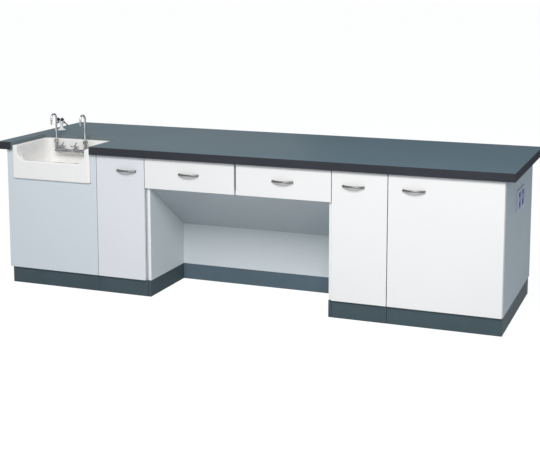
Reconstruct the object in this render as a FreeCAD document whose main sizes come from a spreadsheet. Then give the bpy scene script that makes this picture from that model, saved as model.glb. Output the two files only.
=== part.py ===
"""Laboratory wall bench: cupboards, knee space with two drawers, ceramic sink, taps, gas turret, sockets.

The origin is on the floor under the middle of the bench's outline, +X runs along the bench to the right
as seen from the front, +Y runs from the doors to the back and +Z is up. Millimetres.
"""
import FreeCAD, Part
import os
import re
import Sketcher

SIZES = {
    # cabinets, from left to right, and the boards that they are made of
    "sink_unit_width": 636, "narrow_unit_width": 325, "knee_unit_width": 1172, "wide_unit_width": 642,
    "carcass_depth": 934, "board": 18, "back_board": 12, "filler_width": 10,
    "rail_width": 80, "back_inset": 18, "back_joint": 1.5,
    # worktop
    "bench_height": 900, "worktop_board": 48, "worktop_side": 53, "worktop_front": 18,
    "worktop_back": 35, "worktop_round": 5,
    # plinth and levelling feet
    "plinth_height": 100, "plinth_front": 13, "plinth_left": 15, "plinth_right": 1, "plinth_rear": 35,
    "foot_radius": 25, "foot_top_radius": 22, "foot_pad": 10, "foot_stem_radius": 14, "foot_inset": 65,
    # doors and drawer fronts
    "front_board": 18, "front_gap": 1, "front_seam": 5, "front_lift": 2, "rail_show": 3,
    "drawer_front_height": 180, "drawer_seam": 12,
    # knee space
    "knee_depth": 472, "soffit_drop": 309,
    # drawers and their slides
    "drawer_depth": 400, "drawer_box_height": 110, "drawer_box_lift": 28, "drawer_side": 12,
    "drawer_bottom": 8, "slide_height": 35, "slide_rail": 6, "slide_member": 6.7, "slide_gap": 0.3,
    "slide_lift": 33,
    # shelves
    "shelf_depth": 600, "shelf_setback": 60, "shelf_lift": 330, "shelf_side_gap": 1,
    "pin_radius": 3, "pin_length": 12, "pin_inset": 50,
    # concealed hinges
    "cup_radius": 17.5, "cup_depth": 11, "cup_edge": 22.5, "cup_play": 0.05, "cup_flange": 16,
    "cup_flange_height": 52, "hinge_inset": 95, "arm_gap": 0.3, "arm_width": 14, "arm_height": 12,
    "arm_length": 66, "plate_length": 45, "plate_height": 40, "plate_board": 4,
    # bow handles
    "handle_length": 118, "handle_reach": 30, "handle_rod": 6, "handle_foot": 7, "handle_foot_length": 11,
    "handle_drop": 82, "left_handle_inset": 57, "right_handle_inset": 67, "wide_handle_inset": 85,
    # ceramic sink
    "sink_width": 550, "apron_front": 12, "sink_depth": 395, "sink_height": 209, "rim_drop": 19, "sink_wall": 36,
    "sink_front_wall": 40, "sink_back_wall": 38, "sink_floor": 30, "sink_round": 12, "sink_foot_round": 9,
    "bowl_round": 45, "bowl_floor_round": 24, "scoop_drop": 93, "scoop_round": 50, "rim_round": 7,
    "cutout_gap": 2, "apron_gap": 2, "bearer_height": 70, "bearer_inset": 60,
    # waste and trap
    "waste_radius": 22, "waste_flange": 34, "waste_flange_board": 4, "waste_tail": 75, "waste_reach": 205,
    "trap_radius": 33, "trap_height": 105, "trap_pipe": 20, "outlet_radius": 19, "drain_drop": 6,
    "drain_play": 0.3,
    "strainer_hole": 1.9, "strainer_ring": 11, "collar_radius": 25, "collar_start": 29,
    # bridge tap on the sink's back wall
    "tap_shift": -40, "tap_spacing": 212, "tap_out": 40, "tap_drop": 70, "tap_bar": 13,
    "tap_riser": 11, "tap_riser_height": 51, "tap_shank": 10, "tap_flange": 23, "tap_flange_board": 6,
    "tap_tail": 18, "tap_play": 0.05, "nut_height": 18, "nut_radius": 15, "tap_nut_height": 10,
    "valve_spacing": 94, "valve_tilt": 45, "valve_radius": 11, "valve_length": 40, "valve_spindle": 4,
    "handle_gap": 0.3, "cross_hub": 9, "cross_hub_height": 14, "cross_arm": 4, "cross_tip": 5,
    "cross_reach": 27,
    "neck_radius": 7, "neck_rise": 186, "neck_bend": 28, "neck_drop": 13, "nozzle_length": 25,
    "nozzle_radius": 5.5, "nozzle_waist": 4.5, "nozzle_rib": 6.5, "nozzle_bore": 1.9,
    "supply_pipe": 6, "supply_bend": 30, "supply_out": 60, "supply_lift": 130, "supply_plate": 14.5,
    # gas turret
    "turret_across": 42, "turret_setback": 579, "turret_foot": 27, "turret_foot_top": 25,
    "turret_foot_height": 4, "turret_seat": 1, "seat_play": 0.3, "turret_flare": 14, "turret_neck": 10,
    "turret_column": 12, "turret_spread": 15, "turret_rise": 58, "turret_arm": 7,
    "gas_valve_tilt": 45, "gas_valve_radius": 9, "gas_valve_length": 28, "gas_spindle": 3, "gas_knob_radius": 8.5,
    "gas_knob_height": 14, "gas_lobe": 5, "gas_lobe_reach": 8.5,
    "gas_nozzle_length": 36, "gas_nozzle_radius": 4, "gas_nozzle_waist": 3, "gas_nozzle_rib": 5,
    "gas_nozzle_tilt": 35,
    "gas_stub": 8, "gas_hole_play": 0.5, "gas_nut_radius": 17, "gas_nut_height": 9,
    "gas_pipe_lift": 174, "gas_pipe_bend": 25,
    # sockets on the right end
    "socket_setback": 490, "socket_drop": 180, "socket_length": 226, "socket_tall": 118,
    "socket_plate": 9, "socket_rim": 8, "socket_box_depth": 45, "socket_box_wall": 2, "socket_post": 10,
    "insert_step": 1.5, "recess_radius": 18, "recess_depth": 8, "recess_drop": 24, "contact_radius": 2.4,
    "contact_spacing": 19, "contact_depth": 14, "rocker_lift": 30, "rocker_length": 26,
    "rocker_tall": 20, "rocker_board": 8, "rocker_proud": 3, "rocker_gap": 0.6,
}

doc = FreeCAD.newDocument("LabBench")
sheet = doc.addObject("Spreadsheet::Sheet", "Sizes")
for row, (alias, value) in enumerate(SIZES.items(), start=1):
    sheet.set(f"A{row}", alias)
    sheet.set(f"B{row}", str(value))
    sheet.setAlias(f"B{row}", alias)
doc.recompute()

# Planes and heights that many pieces share, as texts for the expressions
BENCH = "(sink_unit_width + 2*narrow_unit_width + knee_unit_width + wide_unit_width)"
LEFT = f"(-{BENCH}/2)"
SINK_END = f"({LEFT} + sink_unit_width)"
KNEE_START = f"({SINK_END} + narrow_unit_width)"
KNEE_END = f"({KNEE_START} + knee_unit_width)"
WIDE_START = f"({KNEE_END} + narrow_unit_width)"
RIGHT = f"({BENCH}/2)"
DEPTH = "(worktop_front + front_board + front_gap + carcass_depth + worktop_back)"
FRONT = f"((handle_reach + worktop_front - {DEPTH})/2)"
CARCASS = f"({FRONT} + front_board + front_gap)"
BACK = f"({CARCASS} + carcass_depth)"
INNER_BACK = f"({BACK} - back_inset - back_board)"
TOP = "(bench_height - worktop_board)"
FRONT_TOP = f"({TOP} - rail_show)"
FRONT_FOOT = "(plinth_height + front_lift)"
DRAWER_FOOT = f"({FRONT_TOP} - drawer_front_height)"
SOFFIT_FOOT = f"({DRAWER_FOOT} - soffit_drop)"
HANDLE_HEIGHT = f"({FRONT_TOP} - handle_drop)"
SHELF_FOOT = "(plinth_height + shelf_lift)"
SUPPLY_HEIGHT = "(plinth_height + supply_lift)"
GABLE_LEFT = f"({KNEE_START} + filler_width)"
GABLE_RIGHT = f"({KNEE_END} - board)"
KNEE_MIDDLE = f"(({KNEE_START} + {KNEE_END})/2)"
KNEE_BACK = f"({FRONT} + knee_depth)"
SINK_MIDDLE = f"(({LEFT} + {SINK_END})/2)"
TOP_FRONT = f"({FRONT} - worktop_front)"
SINK_FRONT = f"({FRONT} - apron_front)"
SINK_BACK = f"({SINK_FRONT} + sink_depth)"
SINK_RIM = "(bench_height - rim_drop)"
SINK_FOOT = f"({SINK_RIM} - sink_height)"
BOWL_BACK = f"({SINK_BACK} - sink_back_wall)"
TAP_MIDDLE = f"({SINK_MIDDLE} + tap_shift)"
TAP_LINE = f"({BOWL_BACK} - tap_out)"
TAP_HEIGHT = f"({SINK_RIM} - tap_drop)"
RISER_TOP = f"({TAP_HEIGHT} + tap_riser_height)"
NECK_TOP = f"({RISER_TOP} + neck_rise)"
WASTE_Y = f"({SINK_FRONT} + waste_reach)"
DRAIN_HEIGHT = f"({SINK_FOOT} - bearer_height - trap_pipe - drain_drop)"
TAP_ENDS = (f"({TAP_MIDDLE} - tap_spacing/2)", f"({TAP_MIDDLE} + tap_spacing/2)")
VALVES = (f"({TAP_MIDDLE} - valve_spacing/2)", f"({TAP_MIDDLE} + valve_spacing/2)")
TURRET_X = f"({LEFT} + turret_across)"
TURRET_Y = f"({FRONT} + turret_setback)"
SOCKET_Y = f"({FRONT} + socket_setback)"
SOCKET_HEIGHT = f"({TOP} - socket_drop)"
SOCKET_HOLE = (f"({SOCKET_Y} - socket_length/2 + socket_rim)",
               f"({SOCKET_Y} + socket_length/2 - socket_rim)")
CUPBOARDS = [(LEFT, SINK_END), (SINK_END, KNEE_START), (KNEE_END, WIDE_START), (WIDE_START, RIGHT)]

# Turns that carry a primitive's own +Z to another direction, and those of pipe bends: one that climbs
# and goes over to the front, and one that drops and goes under to the back
TURNS = {
    "z": (FreeCAD.Vector(0, 0, 1), "0"),
    "x": (FreeCAD.Vector(0, 1, 0), "90"),
    "-x": (FreeCAD.Vector(0, -1, 0), "90"),
    "y": (FreeCAD.Vector(-1, 0, 0), "90"),
    "-y": (FreeCAD.Vector(1, 0, 0), "90"),
}
OVER = FreeCAD.Rotation(FreeCAD.Vector(0, 1, 0), FreeCAD.Vector(0, 0, 1), FreeCAD.Vector(1, 0, 0))
UNDER = FreeCAD.Rotation(FreeCAD.Vector(0, -1, 0), FreeCAD.Vector(0, 0, -1), FreeCAD.Vector(1, 0, 0))
LEAN_FORWARD = FreeCAD.Vector(1, 0, 0)
LEAN_BACK = FreeCAD.Vector(-1, 0, 0)
NEAR = 0.01
nodes = []


def sized(text):
    """The text of an expression, with each size's name turned into its cell on the sheet"""
    return re.sub(r"[a-z][a-z_]*", lambda m: f"Sizes.{m.group()}" if m.group() in SIZES else m.group(), text)


def number(text):
    """What an expression comes to now, for the first drawing of a sketch and for picking edges"""
    value = sheet.evalExpression(sized(text))
    return float(getattr(value, "Value", value))


def bind(item, **texts):
    """Tie an object's own sizes to expressions"""
    for name, text in texts.items():
        item.setExpression(name, sized(text))
    return item


def place(item, at, turn="z", angle=None):
    """Tie an object's place to expressions: its corner or centre, and the way its +Z points"""
    axis, turn_angle = TURNS[turn] if isinstance(turn, str) else (turn, "0")
    item.Placement = FreeCAD.Placement(FreeCAD.Vector(0, 0, 0), FreeCAD.Rotation(axis, 30))
    item.setExpression("Placement.Rotation.Angle", sized(angle or turn_angle))
    for name, text in zip("xyz", at):
        item.setExpression(f"Placement.Base.{name}", sized(text))
    return item


def box(at, size):
    """A board or block from its lowest corner and its three sides"""
    item = doc.addObject("Part::Box", "Block")
    bind(item, Length=size[0], Width=size[1], Height=size[2])
    return place(item, at)


def slab(x_range, y_range, z_range):
    """A board or block between two planes each way"""
    ranges = (x_range, y_range, z_range)
    return box([low for low, high in ranges], [f"{high} - {low}" for low, high in ranges])


def rod(at, radius, length, turn="z", angle=None):
    """A round bar that starts at a point"""
    item = bind(doc.addObject("Part::Cylinder", "Rod"), Radius=radius, Height=length)
    return place(item, at, turn, angle)


def taper(at, radius, end_radius, length, turn="z", angle=None):
    """A cone's slice that starts at a point"""
    item = bind(doc.addObject("Part::Cone", "Taper"), Radius1=radius, Radius2=end_radius, Height=length)
    return place(item, at, turn, angle)


def ball(at, radius):
    """A ball, for the bend of a pipe or the end of a bar"""
    return place(bind(doc.addObject("Part::Sphere", "Ball"), Radius=radius), at)


def bend(at, bend_radius, radius, sweep, rotation):
    """A bent round bar: part of a ring, turned as the rotation says"""
    item = bind(doc.addObject("Part::Torus", "Bend"), Radius1=bend_radius, Radius2=radius, Angle3=sweep)
    item.Placement = FreeCAD.Placement(FreeCAD.Vector(0, 0, 0), rotation)
    for name, text in zip("xyz", at):
        item.setExpression(f"Placement.Base.{name}", sized(text))
    return item


def hexagon(at, radius, length, turn="z", angle=None):
    """A hexagonal bar, for nuts"""
    item = bind(doc.addObject("Part::Prism", "Hexagon"), Circumradius=radius, Height=length)
    return place(item, at, turn, angle)


def fuse(*pieces):
    """One solid from several that run into each other"""
    item = doc.addObject("Part::MultiFuse", "Joined")
    item.Shapes = list(pieces)
    item.Refine = True
    return item


def cut(base, *tools):
    """A solid with others taken out of it"""
    item = doc.addObject("Part::Cut", "Bored")
    item.Base = base
    item.Tool = tools[0] if len(tools) == 1 else fuse(*tools)
    item.Refine = True
    return item


def rounded(base, radius, wanted):
    """The base with the chosen edges rounded"""
    doc.recompute()
    item = doc.addObject("Part::Fillet", "Rounded")
    item.Base = base
    size = number(radius)
    item.Edges = [(i, size, size) for i, edge in enumerate(base.Shape.Edges, start=1) if wanted(edge)]
    return item


def runs(direction, *tests):
    """A test that picks straight edges which run one way, and pass other tests on their middle"""
    def wanted(edge):
        if not isinstance(edge.Curve, Part.Line):
            return False
        middle = edge.valueAt((edge.FirstParameter + edge.LastParameter)/2)
        along = abs(getattr(edge.tangentAt(edge.FirstParameter), direction))
        return along > 0.999 and all(test(middle) for test in tests)
    return wanted


def keep(label, *pieces):
    """Name a sub-part; several pieces that are alike stay separate solids in one group"""
    item = pieces[0]
    if len(pieces) > 1:
        item = doc.addObject("Part::Compound", "Group")
        item.Links = list(pieces)
    item.Label = label
    nodes.append(item)
    return item


def profile_board(label, start, outline, thickness):
    """A board whose outline is drawn in depth and height, and padded along the bench from its start"""
    body = doc.addObject("PartDesign::Body", "Profile")
    body.Label = label
    sketch = body.newObject("Sketcher::SketchObject", "Outline")
    plane = [item for item in body.Origin.OriginFeatures if item.Role == "YZ_Plane"][0]
    sketch.AttachmentSupport = [(plane, "")]
    sketch.MapMode = "FlatFace"
    points = [FreeCAD.Vector(number(depth), number(height), 0) for depth, height in outline]
    for i, point in enumerate(points):
        sketch.addGeometry(Part.LineSegment(point, points[(i + 1) % len(points)]), False)
    for i, (depth, height) in enumerate(outline):
        sketch.addConstraint(Sketcher.Constraint("Coincident", i, 2, (i + 1) % len(points), 1))
        for kind, text in (("X", depth), ("Y", height)):
            rule = Sketcher.Constraint(f"Distance{kind}", -1, 1, i, 1, number(text))
            index = sketch.addConstraint(rule)
            sketch.renameConstraint(index, f"corner{i}{kind}")
            sketch.setExpression(f"Constraints.corner{i}{kind}", sized(text))
    pad = body.newObject("PartDesign::Pad", "Board")
    pad.Profile = sketch
    bind(pad, Length=thickness)
    body.setExpression("Placement.Base.x", sized(start))
    nodes.append(body)
    return body


def cabinet_boards():
    """Sides, gables, bases, rails, backs and the filler strip: boards screwed and dowelled together"""
    depth = (CARCASS, BACK)
    height = ("plinth_height", TOP)

    def side(start):
        return slab((start, f"({start} + board)"), depth, height)

    keep("end_panel_left", side(LEFT))
    hole_low = f"({SOCKET_HEIGHT} - socket_tall/2 + socket_rim)"
    hole_high = f"({SOCKET_HEIGHT} + socket_tall/2 - socket_rim)"
    hole = slab((f"({RIGHT} - 2*board)", f"({RIGHT} + board)"), SOCKET_HOLE, (hole_low, hole_high))
    keep("end_panel_right", cut(side(f"({RIGHT} - board)"), hole))
    starts = [f"({SINK_END} - board)", SINK_END, f"({KNEE_START} - board)", KNEE_END,
              f"({WIDE_START} - board)", WIDE_START]
    keep("cabinet_sides", *[side(start) for start in starts])
    keep("knee_gable_left", side(GABLE_LEFT))
    keep("knee_gable_right", side(GABLE_RIGHT))
    filler_depth = (f"({CARCASS} + front_gap)", BACK)
    keep("knee_filler_strip", slab((KNEE_START, GABLE_LEFT), filler_depth, height))
    bases = []
    rails = []
    for start, end in CUPBOARDS:
        inside = (f"({start} + board)", f"({end} - board)")
        bases.append(slab(inside, (CARCASS, INNER_BACK), ("plinth_height", "(plinth_height + board)")))
        rails.append(slab(inside, (f"({INNER_BACK} - rail_width)", INNER_BACK), (f"({TOP} - board)", TOP)))
        if start != LEFT:
            rails.append(slab(inside, (CARCASS, f"({CARCASS} + rail_width)"), (f"({TOP} - board)", TOP)))
    knee = (f"({GABLE_LEFT} + board)", GABLE_RIGHT)
    rails.append(slab(knee, (CARCASS, f"({CARCASS} + rail_width)"), (f"({TOP} - board)", TOP)))
    rails.append(slab(knee, (f"({INNER_BACK} - rail_width)", INNER_BACK), (f"({TOP} - board)", TOP)))
    keep("base_boards", *bases)
    keep("top_rails", *rails)
    backs = []
    for start, end in CUPBOARDS + [(GABLE_LEFT, KNEE_END)]:
        inside = (f"({start} + board)", f"({end} - board)")
        panel = slab(inside, (INNER_BACK, f"({INNER_BACK} + back_board)"), height)
        if start == LEFT:
            drain = rod((SINK_MIDDLE, f"({INNER_BACK} - back_board)", DRAIN_HEIGHT),
                        "trap_pipe + drain_play", "3*back_board", "y")
            panel = cut(panel, drain)
        backs.append(panel)
    keep("back_panels", *backs)


def knee_space():
    """Upright back, sloping underside below the drawers, and the divider between the drawers"""
    knee = (f"({GABLE_LEFT} + board)", GABLE_RIGHT)
    width = f"{knee[1]} - {knee[0]}"
    keep("knee_back_panel", slab(knee, (KNEE_BACK, f"({KNEE_BACK} + board)"), ("plinth_height", TOP)))
    fall = f"(({DRAWER_FOOT} - {SOFFIT_FOOT})/({KNEE_BACK} - {CARCASS}))"
    rise = f"(board*sqrt(1 + {fall}*{fall}))"
    front_top = f"({DRAWER_FOOT} + {rise})"
    back_top = f"({SOFFIT_FOOT} + {rise})"
    profile_board("knee_soffit", knee[0], [(CARCASS, DRAWER_FOOT), (CARCASS, front_top),
                                           (KNEE_BACK, back_top), (KNEE_BACK, SOFFIT_FOOT)], width)
    rail_foot = f"({TOP} - board)"
    profile_board("drawer_divider", f"({KNEE_MIDDLE} - board/2)",
                  [(CARCASS, front_top), (CARCASS, rail_foot), (KNEE_BACK, rail_foot),
                   (KNEE_BACK, back_top)], "board")


def plinth():
    """Boards under the cabinets, with the knee space's corners butted behind the gables' fronts"""
    front = (f"({FRONT} + plinth_front)", f"({FRONT} + plinth_front + board)")
    height = ("0", "plinth_height")
    rear = (f"({BACK} - plinth_rear - board)", f"({BACK} - plinth_rear)")
    left = f"({LEFT} + plinth_left)"
    right = f"({RIGHT} - plinth_right)"
    spans = [(left, SINK_END), (SINK_END, GABLE_LEFT), (KNEE_END, WIDE_START), (WIDE_START, right)]
    keep("plinth_front_boards", *[slab(span, front, height) for span in spans])
    knee_depth = (front[0], f"({KNEE_BACK} + board)")
    keep("plinth_knee_boards",
         slab((GABLE_LEFT, f"({GABLE_LEFT} + board)"), knee_depth, height),
         slab((f"({GABLE_LEFT} + board)", GABLE_RIGHT), (KNEE_BACK, f"({KNEE_BACK} + board)"), height),
         slab((GABLE_RIGHT, KNEE_END), knee_depth, height))
    between = (front[1], rear[0])
    rear_spans = [(left, SINK_END), (SINK_END, GABLE_LEFT), (GABLE_LEFT, KNEE_END),
                  (KNEE_END, WIDE_START), (WIDE_START, right)]
    keep("plinth_end_and_rear_boards",
         slab((left, f"({left} + board)"), between, height),
         slab((f"({right} - board)", right), between, height),
         *[slab(span, rear, height) for span in rear_spans])
    feet = []
    for start, end in CUPBOARDS:
        for across in (f"{start} + foot_inset", f"{end} - foot_inset"):
            for deep in (f"{CARCASS} + foot_inset", f"{INNER_BACK} - foot_inset"):
                pad = taper((across, deep, "0"), "foot_radius", "foot_top_radius", "foot_pad")
                stem = rod((across, deep, "foot_pad/2"), "foot_stem_radius", "plinth_height - foot_pad/2")
                feet.append(fuse(pad, stem))
    keep("levelling_feet", *feet)


def worktop():
    """Thick top with a cut-out open to the front for the sink, and a seat and hole for the gas turret"""
    left = f"({LEFT} - worktop_side)"
    right = f"({RIGHT} + worktop_side)"
    plate = slab((left, right), (TOP_FRONT, f"({TOP_FRONT} + {DEPTH})"), (TOP, "bench_height"))
    plate = rounded(plate, "worktop_round",
                    lambda edge: not runs("z")(edge) and edge.CenterOfMass.z > number(TOP) + NEAR)
    opening = slab((f"({SINK_MIDDLE} - sink_width/2 - cutout_gap)",
                    f"({SINK_MIDDLE} + sink_width/2 + cutout_gap)"),
                   (f"({TOP_FRONT} - board)", f"({SINK_BACK} + cutout_gap)"),
                   (f"({TOP} - board)", "(bench_height + board)"))
    opening = rounded(opening, "sink_round",
                      runs("z", lambda middle: middle.y > number(SINK_FRONT)))
    gas_hole = rod((TURRET_X, TURRET_Y, f"{TOP} - board"), "gas_stub + gas_hole_play",
                   "worktop_board + 2*board")
    seat = rod((TURRET_X, TURRET_Y, "bench_height - turret_seat"), "turret_foot + seat_play", "board")
    keep("worktop", cut(plate, opening, gas_hole, seat))


def shelves():
    """One loose shelf a cupboard, on four pins plugged into the sides"""
    boards = []
    pins = []
    near = f"({CARCASS} + shelf_setback)"
    for start, end in CUPBOARDS[1:]:
        inside = (f"({start} + board)", f"({end} - board)")
        boards.append(slab((f"({inside[0]} + shelf_side_gap)", f"({inside[1]} - shelf_side_gap)"),
                           (near, f"({near} + shelf_depth)"), (SHELF_FOOT, f"({SHELF_FOOT} + board)")))
        for deep in (f"{near} + pin_inset", f"{near} + shelf_depth - pin_inset"):
            level = f"{SHELF_FOOT} - pin_radius"
            pins.append(rod((inside[0], deep, level), "pin_radius", "pin_length", "x"))
            pins.append(rod((inside[1], deep, level), "pin_radius", "pin_length", "-x"))
    keep("shelves", *boards)
    keep("shelf_pins", *pins)


def bow_handle(middle):
    """A bent round bar on two feet, fixed across a front, its middle given along the bench"""
    rise = "(handle_reach - handle_rod - handle_foot_length/2)"
    radius = f"(((handle_length/2)^2 + {rise}^2)/(2*{rise}))"
    half = f"asin((handle_length/2)/{radius})"
    centre = f"({FRONT} - handle_reach + handle_rod + {radius})"
    upright = FreeCAD.Rotation(FreeCAD.Vector(0, 0, 1), -90)
    arc = bend((middle, centre, HANDLE_HEIGHT), radius, "handle_rod", f"2*{half}", upright)
    arc.setExpression("Placement.Rotation.Angle", sized(f"-90 deg - {half}"))
    feet = [rod((f"{middle} + {sign}*handle_length/2", FRONT, HANDLE_HEIGHT),
                "handle_foot", "handle_foot_length", "-y") for sign in (-1, 1)]
    return fuse(arc, *feet)


def doors():
    """Three doors on concealed hinges: cups sunk in the doors, arms on plates in the cupboards"""
    arms = []
    for name, (start, end), hinge_side, inset in (
            ("narrow_left", CUPBOARDS[1], 1, "left_handle_inset"),
            ("narrow_right", CUPBOARDS[2], -1, "right_handle_inset"),
            ("wide", CUPBOARDS[3], -1, "wide_handle_inset")):
        left = f"({start} + front_seam/2)"
        right = f"({end} - front_seam/2)"
        leaf = slab((left, right), (FRONT, f"({FRONT} + front_board)"), (FRONT_FOOT, FRONT_TOP))
        edge, inner, turn = (left, f"({start} + board)", "x") if hinge_side > 0 else (
            right, f"({end} - board)", "-x")
        cup_x = f"({edge} + {hinge_side}*cup_edge)"
        recesses = []
        cups = []
        for level in (f"({FRONT_FOOT} + hinge_inset)", f"({FRONT_TOP} - hinge_inset)"):
            back = f"({FRONT} + front_board)"
            recesses.append(rod((cup_x, f"{back} - cup_depth", level), "cup_radius + cup_play",
                                "cup_depth + board", "y"))
            cup = rod((cup_x, f"{back} - cup_depth", level), "cup_radius", "cup_depth", "y")
            flange_x = f"({inner} + {hinge_side}*front_gap)" if hinge_side > 0 else (
                f"({inner} - front_gap - cup_flange)")
            flange = box((flange_x, back, f"{level} - cup_flange_height/2"),
                         ("cup_flange", "front_gap", "cup_flange_height"))
            cups.append(fuse(cup, flange))
            plate_x = inner if hinge_side > 0 else f"({inner} - plate_board)"
            arm_x = f"({inner} + plate_board)" if hinge_side > 0 else f"({inner} - plate_board - arm_width)"
            arm_y = f"({CARCASS} + arm_gap)"
            plate = box((plate_x, f"{arm_y} + arm_length - plate_length", f"{level} - plate_height/2"),
                        ("plate_board", "plate_length", "plate_height"))
            arm = box((arm_x, arm_y, f"{level} - arm_height/2"), ("arm_width", "arm_length", "arm_height"))
            arms.append(fuse(plate, arm))
        keep(f"door_{name}", cut(leaf, *recesses))
        keep(f"hinge_cups_{name}", *cups)
        handle = f"({right} - {inset})" if hinge_side > 0 else f"({left} + {inset})"
        reach = f"({handle} - {hinge_side}*handle_length/2)"
        keep(f"handle_{name}", bow_handle(reach))
    keep("hinge_arms", *arms)


def drawers():
    """Two drawers on side slides; each box is sides, back, sub-front and bottom"""
    rails = []
    divider = (f"({KNEE_MIDDLE} - board/2)", f"({KNEE_MIDDLE} + board/2)")
    bays = (("left", (f"({KNEE_START} + front_seam/2)", f"({KNEE_MIDDLE} - drawer_seam/2)"),
             (f"({GABLE_LEFT} + board)", divider[0])),
            ("right", (f"({KNEE_MIDDLE} + drawer_seam/2)", f"({KNEE_END} - front_seam/2)"),
             (divider[1], GABLE_RIGHT)))
    box_foot = f"({DRAWER_FOOT} + drawer_box_lift)"
    box_top = f"({box_foot} + drawer_box_height)"
    near = f"({FRONT} + front_board)"
    far = f"({near} + drawer_depth)"
    slide_foot = f"({box_foot} + slide_lift)"
    slide_z = (slide_foot, f"({slide_foot} + slide_height)")
    play = "(slide_rail + slide_gap + slide_member)"
    for name, face, bay in bays:
        keep(f"drawer_front_{name}",
             slab(face, (FRONT, near), (DRAWER_FOOT, FRONT_TOP)))
        left = f"({bay[0]} + {play})"
        right = f"({bay[1]} - {play})"
        inner = (f"({left} + drawer_side)", f"({right} - drawer_side)")
        tall = (box_foot, box_top)
        floor = (f"({box_foot} + drawer_bottom/2)", f"({box_foot} + 3*drawer_bottom/2)")
        keep(f"drawer_box_{name}",
             slab((left, inner[0]), (near, far), tall),
             slab((inner[1], right), (near, far), tall),
             slab(inner, (near, f"({near} + drawer_side)"), tall),
             slab(inner, (f"({far} - drawer_side)", far), tall),
             slab(inner, (f"({near} + drawer_side)", f"({far} - drawer_side)"), floor))
        inner_slide = (f"({near} + front_gap)", far)
        keep(f"drawer_slides_{name}",
             slab((f"({left} - slide_member)", left), inner_slide, slide_z),
             slab((right, f"({right} + slide_member)"), inner_slide, slide_z))
        rail_y = (f"({CARCASS} + front_gap)", f"({CARCASS} + drawer_depth)")
        rails.append(slab((bay[0], f"({bay[0]} + slide_rail)"), rail_y, slide_z))
        rails.append(slab((f"({bay[1]} - slide_rail)", bay[1]), rail_y, slide_z))
        keep(f"drawer_handle_{name}", bow_handle(f"(({face[0]} + {face[1]})/2)"))
    keep("drawer_slide_rails", *rails)


def sink():
    """White ceramic sink: thick walls, a scooped front and an apron that stands proud of its panel"""
    left = f"({SINK_MIDDLE} - sink_width/2)"
    right = f"({SINK_MIDDLE} + sink_width/2)"
    block = slab((left, right), (SINK_FRONT, SINK_BACK), (SINK_FOOT, SINK_RIM))
    block = rounded(block, "sink_round", runs("z"))
    foot = number(SINK_FOOT)
    block = rounded(block, "sink_foot_round", lambda edge: abs(edge.CenterOfMass.z - foot) < NEAR)
    bowl = slab((f"({left} + sink_wall)", f"({right} - sink_wall)"),
                (f"({SINK_FRONT} + sink_front_wall)", BOWL_BACK),
                (f"({SINK_FOOT} + sink_floor)", f"({SINK_RIM} + sink_height)"))
    bowl = rounded(bowl, "bowl_round", runs("z"))
    low = number(f"{SINK_FOOT} + sink_floor")
    bowl = rounded(bowl, "bowl_floor_round", lambda edge: abs(edge.CenterOfMass.z - low) < NEAR)
    scoop = slab((f"({left} + sink_wall)", f"({right} - sink_wall)"),
                 (f"({SINK_FRONT} - sink_front_wall)", f"({SINK_FRONT} + sink_front_wall + bowl_round)"),
                 (f"({SINK_RIM} - scoop_drop)", f"({SINK_RIM} + sink_height)"))
    lip = number(f"{SINK_RIM} - scoop_drop")
    scoop = rounded(scoop, "scoop_round", runs("y", lambda middle: abs(middle.z - lip) < NEAR))
    waste = rod((SINK_MIDDLE, WASTE_Y, f"{SINK_FOOT} - sink_floor"), "waste_radius + drain_play",
                "3*sink_floor")
    flange = rod((SINK_MIDDLE, WASTE_Y, f"{SINK_FOOT} + sink_floor - waste_flange_board"),
                 "waste_flange + drain_play", "sink_height")
    shanks = [rod((across, f"{BOWL_BACK} - tap_out/2", TAP_HEIGHT), "tap_shank + drain_play",
                  "2*sink_back_wall", "y") for across in TAP_ENDS]
    shell = cut(block, bowl, scoop)
    rim = number(SINK_RIM)
    fronts = [number(SINK_FRONT), number(f"{SINK_FRONT} + sink_front_wall")]

    def on_rim(edge):
        points = [edge.valueAt(edge.FirstParameter), edge.valueAt(edge.LastParameter), edge.CenterOfMass]
        level = all(abs(point.z - rim) < NEAR for point in points)
        lip_edge = any(all(abs(point.y - front) < NEAR for point in points) for front in fronts)
        return level or (lip_edge and edge.CenterOfMass.z > lip - NEAR)

    shell = rounded(shell, "rim_round", on_rim)
    keep("sink", cut(shell, waste, flange, *shanks))
    bearers = []
    for deep in (f"({SINK_FRONT} + bearer_inset)", f"({SINK_BACK} - bearer_inset - board)"):
        bearers.append(slab((f"({LEFT} + board)", f"({SINK_END} - board)"), (deep, f"({deep} + board)"),
                            (f"({SINK_FOOT} - bearer_height)", SINK_FOOT)))
    keep("sink_bearers", *bearers)
    face = slab((f"({LEFT} + front_seam/2)", f"({SINK_END} - front_seam/2)"),
                (FRONT, f"({FRONT} + front_board + front_gap)"), (FRONT_FOOT, FRONT_TOP))
    apron = slab((f"({left} - apron_gap)", f"({right} + apron_gap)"),
                 (f"({FRONT} - board)", f"({FRONT} + 3*board)"),
                 (f"({SINK_FOOT} - apron_gap)", f"({FRONT_TOP} + board)"))
    keep("sink_front_panel", cut(face, apron))


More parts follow.
